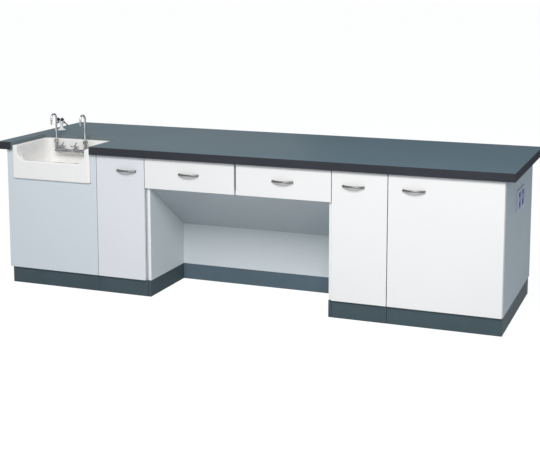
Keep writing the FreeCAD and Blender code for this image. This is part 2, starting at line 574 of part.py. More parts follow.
def waste():
    """Strainer waste through the sink's floor, and a bottle trap whose pipe leaves through the back"""
    top = f"({SINK_FOOT} + sink_floor)"
    flange = rod((SINK_MIDDLE, WASTE_Y, f"{top} - waste_flange_board"), "waste_flange", "waste_flange_board")
    tube = rod((SINK_MIDDLE, WASTE_Y, f"{top} - waste_tail"), "waste_radius", "waste_tail")
    bore = rod((SINK_MIDDLE, WASTE_Y, f"{top} - waste_tail - board"), "waste_radius - waste_flange_board",
               "waste_tail + board - waste_flange_board")
    slots = [rod((f"{SINK_MIDDLE} + strainer_ring*cos({60*i})", f"{WASTE_Y} + strainer_ring*sin({60*i})",
                  f"{top} - 3*waste_flange_board"), "strainer_hole", "4*waste_flange_board")
             for i in range(6)]
    keep("sink_waste", cut(fuse(flange, tube), bore, *slots))
    trap_top = f"({top} - waste_tail + waste_flange_board)"
    cup = rod((SINK_MIDDLE, WASTE_Y, f"{trap_top} - trap_height"), "trap_radius", "trap_height")
    cap = taper((SINK_MIDDLE, WASTE_Y, f"{trap_top} - trap_height - board"), "trap_radius - board/2",
                "trap_radius", "board")
    panel_face = f"({BACK} - back_inset + front_gap)"
    pipe = rod((SINK_MIDDLE, WASTE_Y, DRAIN_HEIGHT), "trap_pipe", f"{panel_face} - {WASTE_Y}", "y")
    outlet = rod((SINK_MIDDLE, WASTE_Y, DRAIN_HEIGHT), "outlet_radius",
                 f"{BACK} - {WASTE_Y} - front_gap", "y")
    collar = rod((SINK_MIDDLE, f"{WASTE_Y} + collar_start", DRAIN_HEIGHT), "collar_radius", "board", "y")
    seat = rod((SINK_MIDDLE, WASTE_Y, f"{trap_top} - waste_flange_board"), "waste_radius + cup_play",
               "2*waste_flange_board")
    keep("waste_trap", cut(fuse(cup, cap, pipe, outlet, collar), seat))


def bridge_tap():
    """Bridge tap: a bar on two shanks through the sink's back wall, two valves, two swivel necks"""
    pieces = [rod((TAP_ENDS[0], TAP_LINE, TAP_HEIGHT), "tap_bar", "tap_spacing", "x")]
    nuts = []
    for across in TAP_ENDS:
        pieces.append(ball((across, TAP_LINE, TAP_HEIGHT), "tap_bar"))
        pieces.append(rod((across, TAP_LINE, TAP_HEIGHT), "tap_riser", f"{RISER_TOP} - {TAP_HEIGHT}"))
        pieces.append(rod((across, TAP_LINE, TAP_HEIGHT), "tap_shank",
                          "tap_out + sink_back_wall + tap_tail", "y"))
        pieces.append(rod((across, f"{BOWL_BACK} - tap_flange_board", TAP_HEIGHT), "tap_flange",
                          "tap_flange_board", "y"))
        top_nut = hexagon((across, TAP_LINE, RISER_TOP), "nut_radius", "nut_height")
        top_bore = rod((across, TAP_LINE, f"{RISER_TOP} - nut_height"), "neck_radius + tap_play",
                       "3*nut_height")
        nuts.append(cut(top_nut, top_bore))
        back_nut = hexagon((across, SINK_BACK, TAP_HEIGHT), "nut_radius + tap_play", "tap_nut_height", "y")
        back_bore = rod((across, f"{SINK_BACK} - board", TAP_HEIGHT), "tap_shank + tap_play",
                        "3*board", "y")
        nuts.append(cut(back_nut, back_bore))
    for across in VALVES:
        pieces.append(rod((across, TAP_LINE, TAP_HEIGHT), "valve_radius", "valve_length",
                          LEAN_FORWARD, "valve_tilt"))
        pieces.append(rod((across, TAP_LINE, TAP_HEIGHT), "valve_spindle",
                          "valve_length + cross_hub_height/2", LEAN_FORWARD, "valve_tilt"))
    keep("tap_bridge", fuse(*pieces))
    keep("tap_nuts", *nuts)
    for name, across in zip(("left", "right"), VALVES):
        keep(f"tap_handle_{name}", cross_handle(across))
    for name, across in zip(("left", "right"), TAP_ENDS):
        keep(f"tap_spout_{name}", swan_neck(across))


def cross_handle(across):
    """A four-armed cross with a domed hub, bored for the valve's spindle"""
    lean = "valve_tilt"
    out = "(valve_length + handle_gap)"
    start = (across, f"{TAP_LINE} - {out}*sin({lean})", f"{TAP_HEIGHT} + {out}*cos({lean})")
    hub = rod(start, "cross_hub", "cross_hub_height", LEAN_FORWARD, lean)
    middle = f"({out} + cross_hub_height/2)"
    y = f"{TAP_LINE} - {middle}*sin({lean})"
    z = f"{TAP_HEIGHT} + {middle}*cos({lean})"
    level = rod((f"{across} - cross_reach", y, z), "cross_arm", "2*cross_reach", "x")
    slant = rod((across, f"{y} - cross_reach*cos({lean})", f"{z} - cross_reach*sin({lean})"),
                "cross_arm", "2*cross_reach", LEAN_BACK, f"90 - {lean}")
    tips = [ball((f"{across} + {sign}*cross_reach", y, z), "cross_tip") for sign in (-1, 1)]
    tips += [ball((across, f"{y} + {sign}*cross_reach*cos({lean})",
                   f"{z} + {sign}*cross_reach*sin({lean})"), "cross_tip") for sign in (-1, 1)]
    bore = rod((across, f"{TAP_LINE} - valve_length*sin({lean})/2",
                f"{TAP_HEIGHT} + valve_length*cos({lean})/2"),
               "valve_spindle + tap_play", "valve_length/2 + handle_gap + cross_hub_height/2 + handle_gap",
               LEAN_FORWARD, lean)
    return cut(fuse(hub, level, slant, *tips), bore)


def swan_neck(across):
    """A round tube up, over and down, with a ribbed hose nozzle at its end"""
    crest = f"({NECK_TOP} - neck_bend)"
    front = f"({TAP_LINE} - 2*neck_bend)"
    foot = f"({RISER_TOP} + handle_gap)"
    riser = rod((across, TAP_LINE, foot), "neck_radius", f"{crest} - {foot}")
    over = bend((across, f"{TAP_LINE} - neck_bend", crest), "neck_bend", "neck_radius", "180", OVER)
    drop = rod((across, front, f"{crest} - neck_drop"), "neck_radius", "neck_drop")
    mouth = f"({crest} - neck_drop - nozzle_length)"
    nozzle = [rod((across, front, mouth), "nozzle_radius", "nozzle_length")]
    for i in range(3):
        nozzle.append(taper((across, front, f"{mouth} + {i}*nozzle_length/4"), "nozzle_waist", "nozzle_rib",
                            "nozzle_length/5"))
    bore = rod((across, front, f"{mouth} - nozzle_rib"), "nozzle_bore", "nozzle_length + neck_drop/2")
    return cut(fuse(riser, over, drop, *nozzle), bore)


def supply():
    """Two supply pipes from the taps' shanks, bent down the back of the sink and out to the back panel"""
    pipes = []
    for across in TAP_ENDS:
        near = f"({SINK_BACK} + tap_tail)"
        down = f"({near} + supply_out)"
        bend_top = f"({TAP_HEIGHT} - supply_bend)"
        bend_low = f"({SUPPLY_HEIGHT} + supply_bend)"
        last = f"({down} + supply_bend)"
        pipes.append(fuse(
            rod((across, near, TAP_HEIGHT), "supply_pipe", f"{down} - supply_bend - {near}", "y"),
            bend((across, f"{down} - supply_bend", bend_top), "supply_bend", "supply_pipe", "90", OVER),
            rod((across, down, bend_low), "supply_pipe", f"{bend_top} - {bend_low}"),
            bend((across, last, bend_low), "supply_bend", "supply_pipe", "90", UNDER),
            rod((across, last, SUPPLY_HEIGHT), "supply_pipe", f"{INNER_BACK} - {last}", "y"),
            rod((across, f"{INNER_BACK} - tap_flange_board", SUPPLY_HEIGHT), "supply_plate",
                "tap_flange_board", "y")))
    keep("tap_supply_pipes", *pipes)


def gas_turret():
    """Two-way gas turret: flared foot, forked column, two valves with lobed knobs and hose nozzles"""
    foot = "(bench_height - turret_seat)"
    flare = "(bench_height + turret_foot_height)"
    neck = f"({flare} + turret_flare)"
    fork = f"({neck} + turret_column)"
    head = "(bench_height + turret_rise)"
    lean = f"atan(turret_spread/({head} - {fork}))"
    length = f"sqrt(turret_spread^2 + ({head} - {fork})^2)"
    tilt = "gas_valve_tilt"
    pieces = [
        rod((TURRET_X, TURRET_Y, foot), "turret_foot", "turret_foot_height + turret_seat"),
        taper((TURRET_X, TURRET_Y, flare), "turret_foot_top", "turret_neck", "turret_flare"),
        rod((TURRET_X, TURRET_Y, neck), "turret_neck", "turret_column"),
        ball((TURRET_X, TURRET_Y, fork), "turret_neck"),
        rod((TURRET_X, TURRET_Y, f"{TOP} - gas_nut_height - board/2"), "gas_stub",
            "worktop_board + gas_nut_height + board/2 + turret_foot_height"),
    ]
    nozzles = []
    for side, name in ((-1, "left"), (1, "right")):
        across = f"({TURRET_X} + {side}*turret_spread)"
        pieces.append(rod((TURRET_X, TURRET_Y, fork), "turret_arm", length,
                          FreeCAD.Vector(0, side, 0), lean))
        body_foot = axis_point(across, head, "-gas_valve_length/2")
        pieces.append(rod(body_foot, "gas_valve_radius", "gas_valve_length", LEAN_FORWARD, tilt))
        pieces.append(rod((across, TURRET_Y, head), "gas_spindle",
                          "gas_valve_length/2 + gas_knob_height/2", LEAN_FORWARD, tilt))
        nozzles.append(gas_nozzle(across, head, side))
        knob_foot = axis_point(across, head, "gas_valve_length/2 + handle_gap")
        lobes = [rod((f"{across} + gas_lobe_reach*cos({72*i + 90})",
                      f"{knob_foot[1]} + gas_lobe_reach*sin({72*i + 90})*cos({tilt})",
                      f"{knob_foot[2]} + gas_lobe_reach*sin({72*i + 90})*sin({tilt})"),
                     "gas_lobe", "gas_knob_height", LEAN_FORWARD, tilt) for i in range(5)]
        hub = rod(knob_foot, "gas_knob_radius", "gas_knob_height", LEAN_FORWARD, tilt)
        bore = rod((across, TURRET_Y, head), "gas_spindle + tap_play",
                   "gas_valve_length/2 + gas_knob_height/2 + 2*handle_gap", LEAN_FORWARD, tilt)
        keep(f"gas_knob_{name}", cut(fuse(hub, *lobes), bore))
    keep("gas_turret", fuse(*pieces))
    keep("gas_nozzles", *nozzles)
    nut = hexagon((TURRET_X, TURRET_Y, f"{TOP} - gas_nut_height"), "gas_nut_radius", "gas_nut_height")
    nut_bore = rod((TURRET_X, TURRET_Y, f"{TOP} - 2*gas_nut_height"), "gas_stub + tap_play",
                   "3*gas_nut_height")
    stub_foot = f"({TOP} - gas_nut_height - board/2)"
    low = "(plinth_height + gas_pipe_lift)"
    pipe = fuse(rod((TURRET_X, TURRET_Y, low), "supply_pipe", f"{stub_foot} - {low}"),
                bend((TURRET_X, f"{TURRET_Y} + gas_pipe_bend", low), "gas_pipe_bend", "supply_pipe", "90",
                     UNDER),
                rod((TURRET_X, f"{TURRET_Y} + gas_pipe_bend", f"{low} - gas_pipe_bend"), "supply_pipe",
                    f"{INNER_BACK} - {TURRET_Y} - gas_pipe_bend", "y"))
    keep("gas_pipe", cut(nut, nut_bore), pipe)


def axis_point(across, head, distance):
    """A point on a gas valve's axis, which leans forward, at a distance above the valve's middle"""
    return (across, f"{TURRET_Y} - ({distance})*sin(gas_valve_tilt)",
            f"{head} + ({distance})*cos(gas_valve_tilt)")


def gas_nozzle(across, head, side):
    """A ribbed hose nozzle that leans down and outwards from its valve"""
    lean = "(90 + gas_nozzle_tilt)"
    out_x = f"{side}*cos(gas_nozzle_tilt)"
    out_z = "-sin(gas_nozzle_tilt)"
    axis = FreeCAD.Vector(0, side, 0)

    def point(distance):
        return (f"{across} + ({distance})*{out_x}", TURRET_Y, f"{head} + ({distance})*({out_z})")

    start = "gas_valve_radius"
    pieces = [rod(point(start), "gas_nozzle_radius", "gas_nozzle_length", axis, lean)]
    for i in range(4):
        pieces.append(taper(point(f"{start} + gas_nozzle_length*({i} + 1)/5"), "gas_nozzle_rib",
                            "gas_nozzle_waist", "gas_nozzle_length/5", axis, lean))
    socket = rod(axis_point(across, head, "-gas_valve_length"), "gas_valve_radius",
                 "2*gas_valve_length", LEAN_FORWARD, "gas_valve_tilt")
    return cut(fuse(*pieces), socket)


def sockets():
    """Two switched socket modules side by side in one plate, on a back box in the right end panel"""
    plate_x = (RIGHT, f"({RIGHT} + socket_plate)")
    plate_y = (f"({SOCKET_Y} - socket_length/2)", f"({SOCKET_Y} + socket_length/2)")
    plate_z = (f"({SOCKET_HEIGHT} - socket_tall/2)", f"({SOCKET_HEIGHT} + socket_tall/2)")
    rim = "socket_rim"
    inner_z = (f"({plate_z[0]} + {rim})", f"({plate_z[1]} - {rim})")
    windows = []
    inserts = []
    for side, (low, high) in (("near", (f"({plate_y[0]} + {rim})", f"({SOCKET_Y} - socket_post/2)")),
                              ("far", (f"({SOCKET_Y} + socket_post/2)", f"({plate_y[1]} - {rim})"))):
        windows.append(slab((f"({RIGHT} - board)", f"({RIGHT} + 2*socket_plate)"), (low, high), inner_z))
        inserts.append(insert(low, high, inner_z))
        rocker(side, f"(({low} + {high})/2)")
    keep("socket_plate", cut(slab(plate_x, plate_y, plate_z), *windows))
    keep("socket_inserts", *inserts)
    box_x = (f"({RIGHT} - board - socket_box_depth)", f"({RIGHT} - board)")
    gap = "back_joint"
    outer_y = (f"({SOCKET_HOLE[0]} + {gap})", f"({SOCKET_HOLE[1]} - {gap})")
    outer_z = (f"({inner_z[0]} + {gap})", f"({inner_z[1]} - {gap})")
    wall = "socket_box_wall"
    hollow = slab((f"({box_x[0]} + {wall})", f"({RIGHT} + board)"),
                  (f"({outer_y[0]} + {wall})", f"({outer_y[1]} - {wall})"),
                  (f"({outer_z[0]} + {wall})", f"({outer_z[1]} - {wall})"))
    keep("socket_box", cut(slab(box_x, outer_y, outer_z), hollow))


def insert(low, high, heights):
    """One module: a block with a switch's well above and a round recess with three contacts below"""
    step = "insert_step"
    x_range = (f"({RIGHT} - board)", f"({RIGHT} + socket_plate - {step})")
    face = x_range[1]
    block = slab(x_range, (low, high), heights)
    middle = f"(({low} + {high})/2)"
    low_z = f"({SOCKET_HEIGHT} - recess_drop)"
    recess = rod((f"{face} - recess_depth", middle, low_z), "recess_radius", "recess_depth + board", "x")
    contacts = [rod((f"{face} - recess_depth - contact_depth", f"{middle} + {i}*contact_spacing/2",
                     f"{low_z} - {abs(i) - 1}*contact_spacing/3"), "contact_radius",
                    "contact_depth + recess_depth", "x") for i in (-1, 0, 1)]
    well = slab((f"({face} - rocker_board)", f"({face} + board)"),
                (f"({middle} - rocker_length/2 - rocker_gap)", f"({middle} + rocker_length/2 + rocker_gap)"),
                (f"({SOCKET_HEIGHT} + rocker_lift - rocker_tall/2 - rocker_gap)",
                 f"({SOCKET_HEIGHT} + rocker_lift + rocker_tall/2 + rocker_gap)"))
    return cut(block, recess, well, *contacts)


def rocker(side, middle):
    """A switch's rocker: a shallow wedge-backed key that tips about its middle line"""
    face = f"({RIGHT} + socket_plate - insert_step)"
    key = slab((f"({face} - rocker_board + 2*rocker_gap)", f"({face} + rocker_proud)"),
               (f"({middle} - rocker_length/2)", f"({middle} + rocker_length/2)"),
               (f"({SOCKET_HEIGHT} + rocker_lift - rocker_tall/2)",
                f"({SOCKET_HEIGHT} + rocker_lift + rocker_tall/2)"))
    reliefs = []
    for sign in (-1, 1):
        reliefs.append(rod((f"{face} - rocker_board", f"{middle} - rocker_length",
                            f"{SOCKET_HEIGHT} + rocker_lift + {sign}*rocker_tall/2"),
                           "rocker_board - 2*rocker_gap", "2*rocker_length", "y"))
    keep(f"socket_rocker_{side}", cut(key, *reliefs))


cabinet_boards()
knee_space()
plinth()
worktop()
shelves()
doors()
drawers()
sink()
waste()
bridge_tap()
supply()
gas_turret()
sockets()
doc.recompute()

for item in doc.Objects:
    if "Invalid" in item.State or "Error" in item.State:
        raise RuntimeError(f"{item.Label} failed: {item.State}")
for item in nodes:
    if item.Shape.isNull() or not item.Shape.isValid() or not item.Shape.Solids:
        raise RuntimeError(f"{item.Label} is not a valid solid")
os.makedirs("parts", exist_ok=True)
for item in nodes:
    item.Shape.exportStep(f"parts/{item.Label}.step")
print(len(nodes), "sub-parts,", sum(len(item.Shape.Solids) for item in nodes), "solids")
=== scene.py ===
"""Laboratory wall bench with an apron sink, bridge tap, gas turret and sockets, finished over its frame.

Metres. +X runs along the bench to the right, +Y from the doors to the back and +Z up from the floor.
"""
import math
import bmesh
import bpy
from mathutils import Euler, Matrix, Vector


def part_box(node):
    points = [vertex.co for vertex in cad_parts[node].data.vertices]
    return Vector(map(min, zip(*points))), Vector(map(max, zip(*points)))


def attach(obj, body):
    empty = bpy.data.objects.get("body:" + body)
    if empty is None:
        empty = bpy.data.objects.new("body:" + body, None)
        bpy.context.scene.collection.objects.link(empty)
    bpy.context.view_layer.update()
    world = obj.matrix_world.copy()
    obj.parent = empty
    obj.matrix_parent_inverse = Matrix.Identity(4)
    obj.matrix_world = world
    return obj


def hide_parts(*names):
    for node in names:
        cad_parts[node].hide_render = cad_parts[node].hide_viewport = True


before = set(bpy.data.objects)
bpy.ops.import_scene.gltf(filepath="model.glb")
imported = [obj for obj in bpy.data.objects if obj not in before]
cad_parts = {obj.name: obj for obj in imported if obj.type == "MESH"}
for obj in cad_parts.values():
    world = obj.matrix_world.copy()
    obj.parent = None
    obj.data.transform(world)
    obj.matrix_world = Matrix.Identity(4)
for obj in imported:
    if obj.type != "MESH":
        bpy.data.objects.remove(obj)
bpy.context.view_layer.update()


# ---- Studio
# A pale floor that runs on past the view, a broad lamp high in front, a second that favours the
# right-hand half, an even, slightly cool surround, and grey cards that only the chrome and gloss see.
bpy.context.scene.view_settings.view_transform = "Standard"

QUARTER = math.radians(90)
LOOKS_DOWN, LOOKS_ASIDE = math.radians(8), math.radians(21.272)
camera_data = bpy.data.cameras.new("camera")
camera_data.lens = 75.81
camera_data.shift_y = -0.1703
camera = bpy.data.objects.new("camera", camera_data)
camera.location = (2.5303, -6.4258, 1.9389)
camera.rotation_euler = (QUARTER - LOOKS_DOWN, 0, LOOKS_ASIDE)
bpy.context.scene.collection.objects.link(camera)
bpy.context.scene.camera = camera


def lamp(name, place, aim, size, power, colour):
    """A square soft lamp that faces a point"""
    data = bpy.data.lights.new(name, "AREA")
    data.size = size
    data.energy = power
    data.color = colour
    item = bpy.data.objects.new(name, data)
    item.location = place
    item.rotation_euler = (Vector(aim) - Vector(place)).to_track_quat("-Z", "Y").to_euler()
    bpy.context.scene.collection.objects.link(item)


lamp("high_lamp", (0.4, -6.4, 6.2), (0.3, -0.45, 0.5), 2.6, 277, (1.0, 0.99, 0.975))
lamp("right_lamp", (1.5, -3.7, 3.5), (1.0, -0.45, 0.55), 1.4, 73, (1.0, 0.985, 0.965))


def emptied(owner):
    """The node tree of a world or a material, cleared for new nodes"""
    owner.use_nodes = True
    owner.node_tree.nodes.clear()
    return owner.node_tree


def plain(tree, kind, colour, strength=1.0):
    """A shader of one colour, and of one strength where it glows"""
    item = tree.nodes.new(f"ShaderNode{kind}")
    item.inputs["Color"].default_value = (*colour, 1)
    if "Strength" in item.inputs:
        item.inputs["Strength"].default_value = strength
    return item


def seen_apart(tree, lighting, shown, share=1.0):
    """A shader that lights the rest, with a share of another where eye, mirror or glass looks at it"""
    rays = tree.nodes.new("ShaderNodeLightPath")
    factor = rays.outputs["Is Camera Ray"]
    for kind in ("Is Glossy Ray", "Is Transmission Ray"):
        either = tree.nodes.new("ShaderNodeMath")
        either.operation = "MAXIMUM"
        tree.links.new(factor, either.inputs[0])
        tree.links.new(rays.outputs[kind], either.inputs[1])
        factor = either.outputs[0]
    part = tree.nodes.new("ShaderNodeMath")
    part.operation = "MULTIPLY"
    part.inputs[1].default_value = share
    tree.links.new(factor, part.inputs[0])
    mix = tree.nodes.new("ShaderNodeMixShader")
    tree.links.new(part.outputs[0], mix.inputs["Fac"])
    tree.links.new(lighting.outputs[0], mix.inputs[1])
    tree.links.new(shown.outputs[0], mix.inputs[2])
    return mix


def surfaced(tree, kind, shader):
    """Lead a shader to the output of a world or a material"""
    tree.links.new(shader.outputs[0], tree.nodes.new(f"ShaderNodeOutput{kind}").inputs["Surface"])


WHITE, SURROUND, SURROUND_LEVEL = (1, 1, 1), (0.90, 0.96, 1.0), 0.355
world = bpy.data.worlds.new("surround")
bpy.context.scene.world = world
tree = emptied(world)
surfaced(tree, "World", seen_apart(tree, plain(tree, "Background", SURROUND, SURROUND_LEVEL),
                                   plain(tree, "Background", WHITE)))

FLOOR_WHITE, FLOOR_GLOW, FLOOR_SHOWN = (0.62, 0.64, 0.66), 1.18, 0.8
bpy.ops.object.select_all(action="DESELECT")
bpy.ops.mesh.primitive_circle_add(vertices=96, radius=70, fill_type="NGON")
floor = bpy.context.object
floor.name = "floor"
paint = bpy.data.materials.new("floor_paint")
tree = emptied(paint)
surfaced(tree, "Material", seen_apart(tree, plain(tree, "BsdfDiffuse", FLOOR_WHITE),
                                      plain(tree, "Emission", WHITE, FLOOR_GLOW), FLOOR_SHOWN))
floor.data.materials.append(paint)

for name, grey, place, turn, wide, tall in (
        ("overhead_card", 0.04, (-1.3, -0.3, 3.4), (0, 0, 0), 3.0, 3.0),
        ("rear_card", 0.36, (1.5, 3.6, 1.7), (QUARTER, 0, 0), 5.0, 3.2),
        ("left_card", 0.04, (-4.2, -2.4, 1.5), (QUARTER, 0, math.radians(60)), 1.2, 3.0)):
    felt = bpy.data.materials.new(f"{name}_felt")
    tree = emptied(felt)
    surfaced(tree, "Material", plain(tree, "Emission", (grey, grey*1.1, grey*1.2)))
    bpy.ops.object.select_all(action="DESELECT")
    bpy.ops.mesh.primitive_plane_add(size=1, location=place, rotation=turn)
    card = bpy.context.object
    card.scale = (wide, tall, 1)
    card.name = name
    card.visible_camera = card.visible_diffuse = card.visible_shadow = card.visible_transmission = False
    card.data.materials.append(felt)


# ---- Cabinet boards
# Sides, gables, bases, rails, shelves and backs are cut from faced board. The faces carry a thin, very
# finely pearled melamine film and the sawn edges a 1 mm plastic lipping; edges are eased by the planer.
def surface(name, colour, roughness, metallic=0.0, drift=0.03, drift_size=3.0, grain=0.0,
            grain_size=700.0, sheen_drift=0.05, stretch=(1, 1, 1), coat=0.0, specular=0.5, flecks=None,
            fleck_size=240.0):
    """A finish whose colour and gloss drift over the piece, with a fine grain in relief and flecks"""
    material = bpy.data.materials.new(name)
    material.use_nodes = True
    nodes, links = material.node_tree.nodes, material.node_tree.links
    shader = nodes["Principled BSDF"]
    for socket, value in (("Metallic", metallic), ("Coat Weight", coat), ("Coat Roughness", 0.06),
                          ("Specular IOR Level", specular)):
        shader.inputs[socket].default_value = value
    place = nodes.new("ShaderNodeTexCoord")
    turn = nodes.new("ShaderNodeMapping")
    turn.inputs["Scale"].default_value = stretch
    links.new(place.outputs["Object"], turn.inputs["Vector"])

    def noise(size, detail):
        item = nodes.new("ShaderNodeTexNoise")
        item.inputs["Scale"].default_value = size
        item.inputs["Detail"].default_value = detail
        links.new(turn.outputs["Vector"], item.inputs["Vector"])
        return item.outputs["Fac"]

    def spread(source, low, high, start=0.3, end=0.7):
        item = nodes.new("ShaderNodeMapRange")
        for socket, value in (("From Min", start), ("From Max", end), ("To Min", low), ("To Max", high)):
            item.inputs[socket].default_value = value
        links.new(source, item.inputs["Value"])
        return item.outputs["Result"]

    tint = nodes.new("ShaderNodeMix")
    tint.data_type = "RGBA"
    tint.inputs["A"].default_value = (*[part*(1 - drift) for part in colour], 1)
    tint.inputs["B"].default_value = (*[min(1, part*(1 + drift)) for part in colour], 1)
    links.new(spread(noise(drift_size, 4), 0, 1), tint.inputs["Factor"])
    shown = tint.outputs["Result"]
    if flecks:
        dots = nodes.new("ShaderNodeMix")
        dots.data_type = "RGBA"
        dots.inputs["B"].default_value = (*flecks, 1)
        links.new(shown, dots.inputs["A"])
        links.new(spread(noise(fleck_size, 2), 0, 0.65, 0.6, 0.72), dots.inputs["Factor"])
        shown = dots.outputs["Result"]
    links.new(shown, shader.inputs["Base Color"])
    links.new(spread(noise(drift_size*2.3, 5), roughness - sheen_drift, roughness + sheen_drift),
              shader.inputs["Roughness"])
    if grain:
        relief = nodes.new("ShaderNodeBump")
        relief.inputs["Strength"].default_value = grain
        relief.inputs["Distance"].default_value = 0.0004
        links.new(noise(grain_size, 3), relief.inputs["Height"])
        links.new(relief.outputs["Normal"], shader.inputs["Normal"])
    return material


def fine_grained(name, colour, roughness, drift=0.02, drift_size=1.7, grain=0.12, **more):
    """A finish with a very fine grain, such as a pearled film or moulded plastic"""
    return surface(name, colour, roughness, drift=drift, drift_size=drift_size, grain=grain,
                   grain_size=900, **more)


# The carcass is one laminate, in the knee film's tone; the end film is a darker, bluer copy of it, a
# painted shade on the ends, which face away from the lamps.
end_shaded_film = fine_grained("end_shaded_melamine", (0.54, 0.63, 0.69), 0.5, sheen_drift=0.015, specular=0.06)
knee_film = fine_grained("knee_melamine", (0.70, 0.75, 0.775), 0.45, sheen_drift=0.02, specular=0.3)
# The soffit and the filler lath take the darkest copy of the carcass laminate, a painted shade under the
# drawers and in the recess beside the knee space.
deep_shade_film = fine_grained("deep_shade_melamine", (0.44, 0.49, 0.52), 0.45)
pale_film = fine_grained("pale_melamine", (0.74, 0.76, 0.78), 0.42, drift=0.015)
white_lipping = surface("white_lipping", (0.86, 0.87, 0.88), 0.26, drift=0.01, grain=0.04, grain_size=400)
slate_lipping = surface("slate_lipping", (0.055, 0.062, 0.066), 0.4, drift=0.04, grain=0.06,
                        grain_size=400)
back_paint = surface("painted_hardboard", (0.6, 0.63, 0.65), 0.55, drift=0.04, drift_size=6, grain=0.35,
                     grain_size=260, stretch=(1, 1, 0.35))


def only(item):
    """Select one object alone"""
    bpy.ops.object.select_all(action="DESELECT")
    item.select_set(True)
    bpy.context.view_layer.objects.active = item


def opened(item, action="SELECT"):
    """Open one mesh for editing, with all or none of it selected"""
    only(item)
    bpy.ops.object.mode_set(mode="EDIT")
    bpy.ops.mesh.select_all(action=action)


def settle(item, name, materials, body):
    """Put a finished piece's place into its mesh, and give it its name, finish and body"""
    only(item)
    bpy.ops.object.transform_apply(location=True, rotation=True, scale=True)
    item.name = name
    item.data.name = name
    finish_of_face = [face.material_index for face in item.data.polygons]
    item.data.materials.clear()
    for material in materials:
        item.data.materials.append(material)
    item.data.polygons.foreach_set("material_index", finish_of_face)
    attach(item, body)
    return item


def flat_faced(item, angle):
    """Shade the eased edges as round and the broad faces as dead flat"""
    only(item)
    bpy.ops.object.shade_smooth_by_angle(angle=math.radians(angle))
    item.modifiers.new("even", "WEIGHTED_NORMAL").keep_sharp = True
    bpy.ops.object.modifier_apply(modifier="even")
    return item


def eased(item, ease, segments=2, angle=40, shading=45):
    """Ease every sharp edge of a piece a little"""
    only(item)
    bevel = item.modifiers.new("ease", "BEVEL")
    bevel.width = ease
    bevel.segments = segments
    bevel.limit_method = "ANGLE"
    bevel.angle_limit = math.radians(angle)
    bpy.ops.object.modifier_apply(modifier="ease")
    return flat_faced(item, shading)


def eased_copy(node, ease, segments=2):
    """A sharp-edged node's copy with its flat faces whole again and its edges eased"""
    only(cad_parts[node])
    bpy.ops.object.duplicate()
    item = bpy.context.object
    item.parent = None
    for name in list(item.keys()):
        del item[name]
    opened(item)
    bpy.ops.mesh.remove_doubles(threshold=1e-6)
    bpy.ops.mesh.dissolve_limited(angle_limit=math.radians(1))
    bpy.ops.object.mode_set(mode="OBJECT")
    return eased(item, ease, segments, shading=50)


def lipped(item, across):
    """Give the narrow faces of boards that lie across one axis, and the eased edges, the second finish"""
    for face in item.data.polygons:
        face.material_index = 0 if abs(face.normal[across]) > 0.9 else 1


EASE = 0.0009
for node, across, film, lipping, slot in (
        ("end_panel_left", 0, end_shaded_film, white_lipping, "carcass_laminate"),
        ("end_panel_right", 0, end_shaded_film, white_lipping, "carcass_laminate"),
        ("knee_gable_left", 0, knee_film, white_lipping, "carcass_laminate"),
        ("knee_gable_right", 0, knee_film, white_lipping, "carcass_laminate"),
        ("knee_back_panel", 1, knee_film, white_lipping, "carcass_laminate"),
        ("drawer_divider", 0, pale_film, slate_lipping, "inner_laminate"),
        ("sink_bearers", 1, pale_film, white_lipping, "inner_laminate"),
        ("base_boards", 2, pale_film, slate_lipping, "inner_laminate"),
        ("top_rails", 2, pale_film, white_lipping, "inner_laminate"),
        ("shelves", 2, pale_film, white_lipping, "inner_laminate")):
    board = eased_copy(node, EASE)
    lipped(board, across)
    settle(board, f"{node}_board", [film, lipping], "bench")
    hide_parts(node)


def joined(*items):
    """Several meshes as one object"""
    only(items[0])
    for item in items:
        item.select_set(True)
    bpy.ops.object.join()
    return bpy.context.object


def cube(low, high):
    """A plain block between two corners"""
    low, high = Vector(low), Vector(high)
    bpy.ops.object.select_all(action="DESELECT")
    bpy.ops.mesh.primitive_cube_add(size=1, location=(low + high)/2, scale=high - low)
    bpy.ops.object.transform_apply(location=True, rotation=True, scale=True)
    return bpy.context.object


def boards(ease, *corners):
    """Boards that meet, each between its own two corners and eased by itself, so the joints show"""
    made = []
    for low, high in corners:
        made.append(cube(low, high))
        opened(made[-1])
        bpy.ops.mesh.bevel(offset=ease, segments=2, profile=0.5)
        bpy.ops.object.mode_set(mode="OBJECT")
    return flat_faced(joined(*made), 50)


BOARD = 0.018
KNEE_LEFT, KNEE_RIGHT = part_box("knee_gable_left")[0].x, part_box("knee_gable_right")[1].x
NARROW_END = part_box("knee_filler_strip")[0].x
SINK_END = (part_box("sink_front_panel")[1].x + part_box("door_narrow_left")[0].x)/2
WIDE_START = (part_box("door_narrow_right")[1].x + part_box("door_wide")[0].x)/2
side_low, side_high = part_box("cabinet_sides")
sides = boards(EASE, *[((across, side_low.y, side_low.z), (across + BOARD, side_high.y, side_high.z))
                       for across in (SINK_END - BOARD, SINK_END, NARROW_END - BOARD, KNEE_RIGHT,
                                      WIDE_START - BOARD, WIDE_START)])
lipped(sides, 0)
settle(sides, "cabinet_sides_board", [pale_film, slate_lipping], "bench")
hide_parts("cabinet_sides")

for node, name, finish, ease, segments, slot in (
        ("knee_filler_strip", "knee_filler_lath", deep_shade_film, EASE, 2, "carcass_laminate"),
        ("knee_soffit", "knee_soffit_board", deep_shade_film, EASE, 2, "soffit_laminate"),
        ("back_panels", "back_panels_board", back_paint, 0.0006, 1, "back_board")):
    board = settle(eased_copy(node, ease, segments), name, [finish], "bench")
    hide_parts(node)


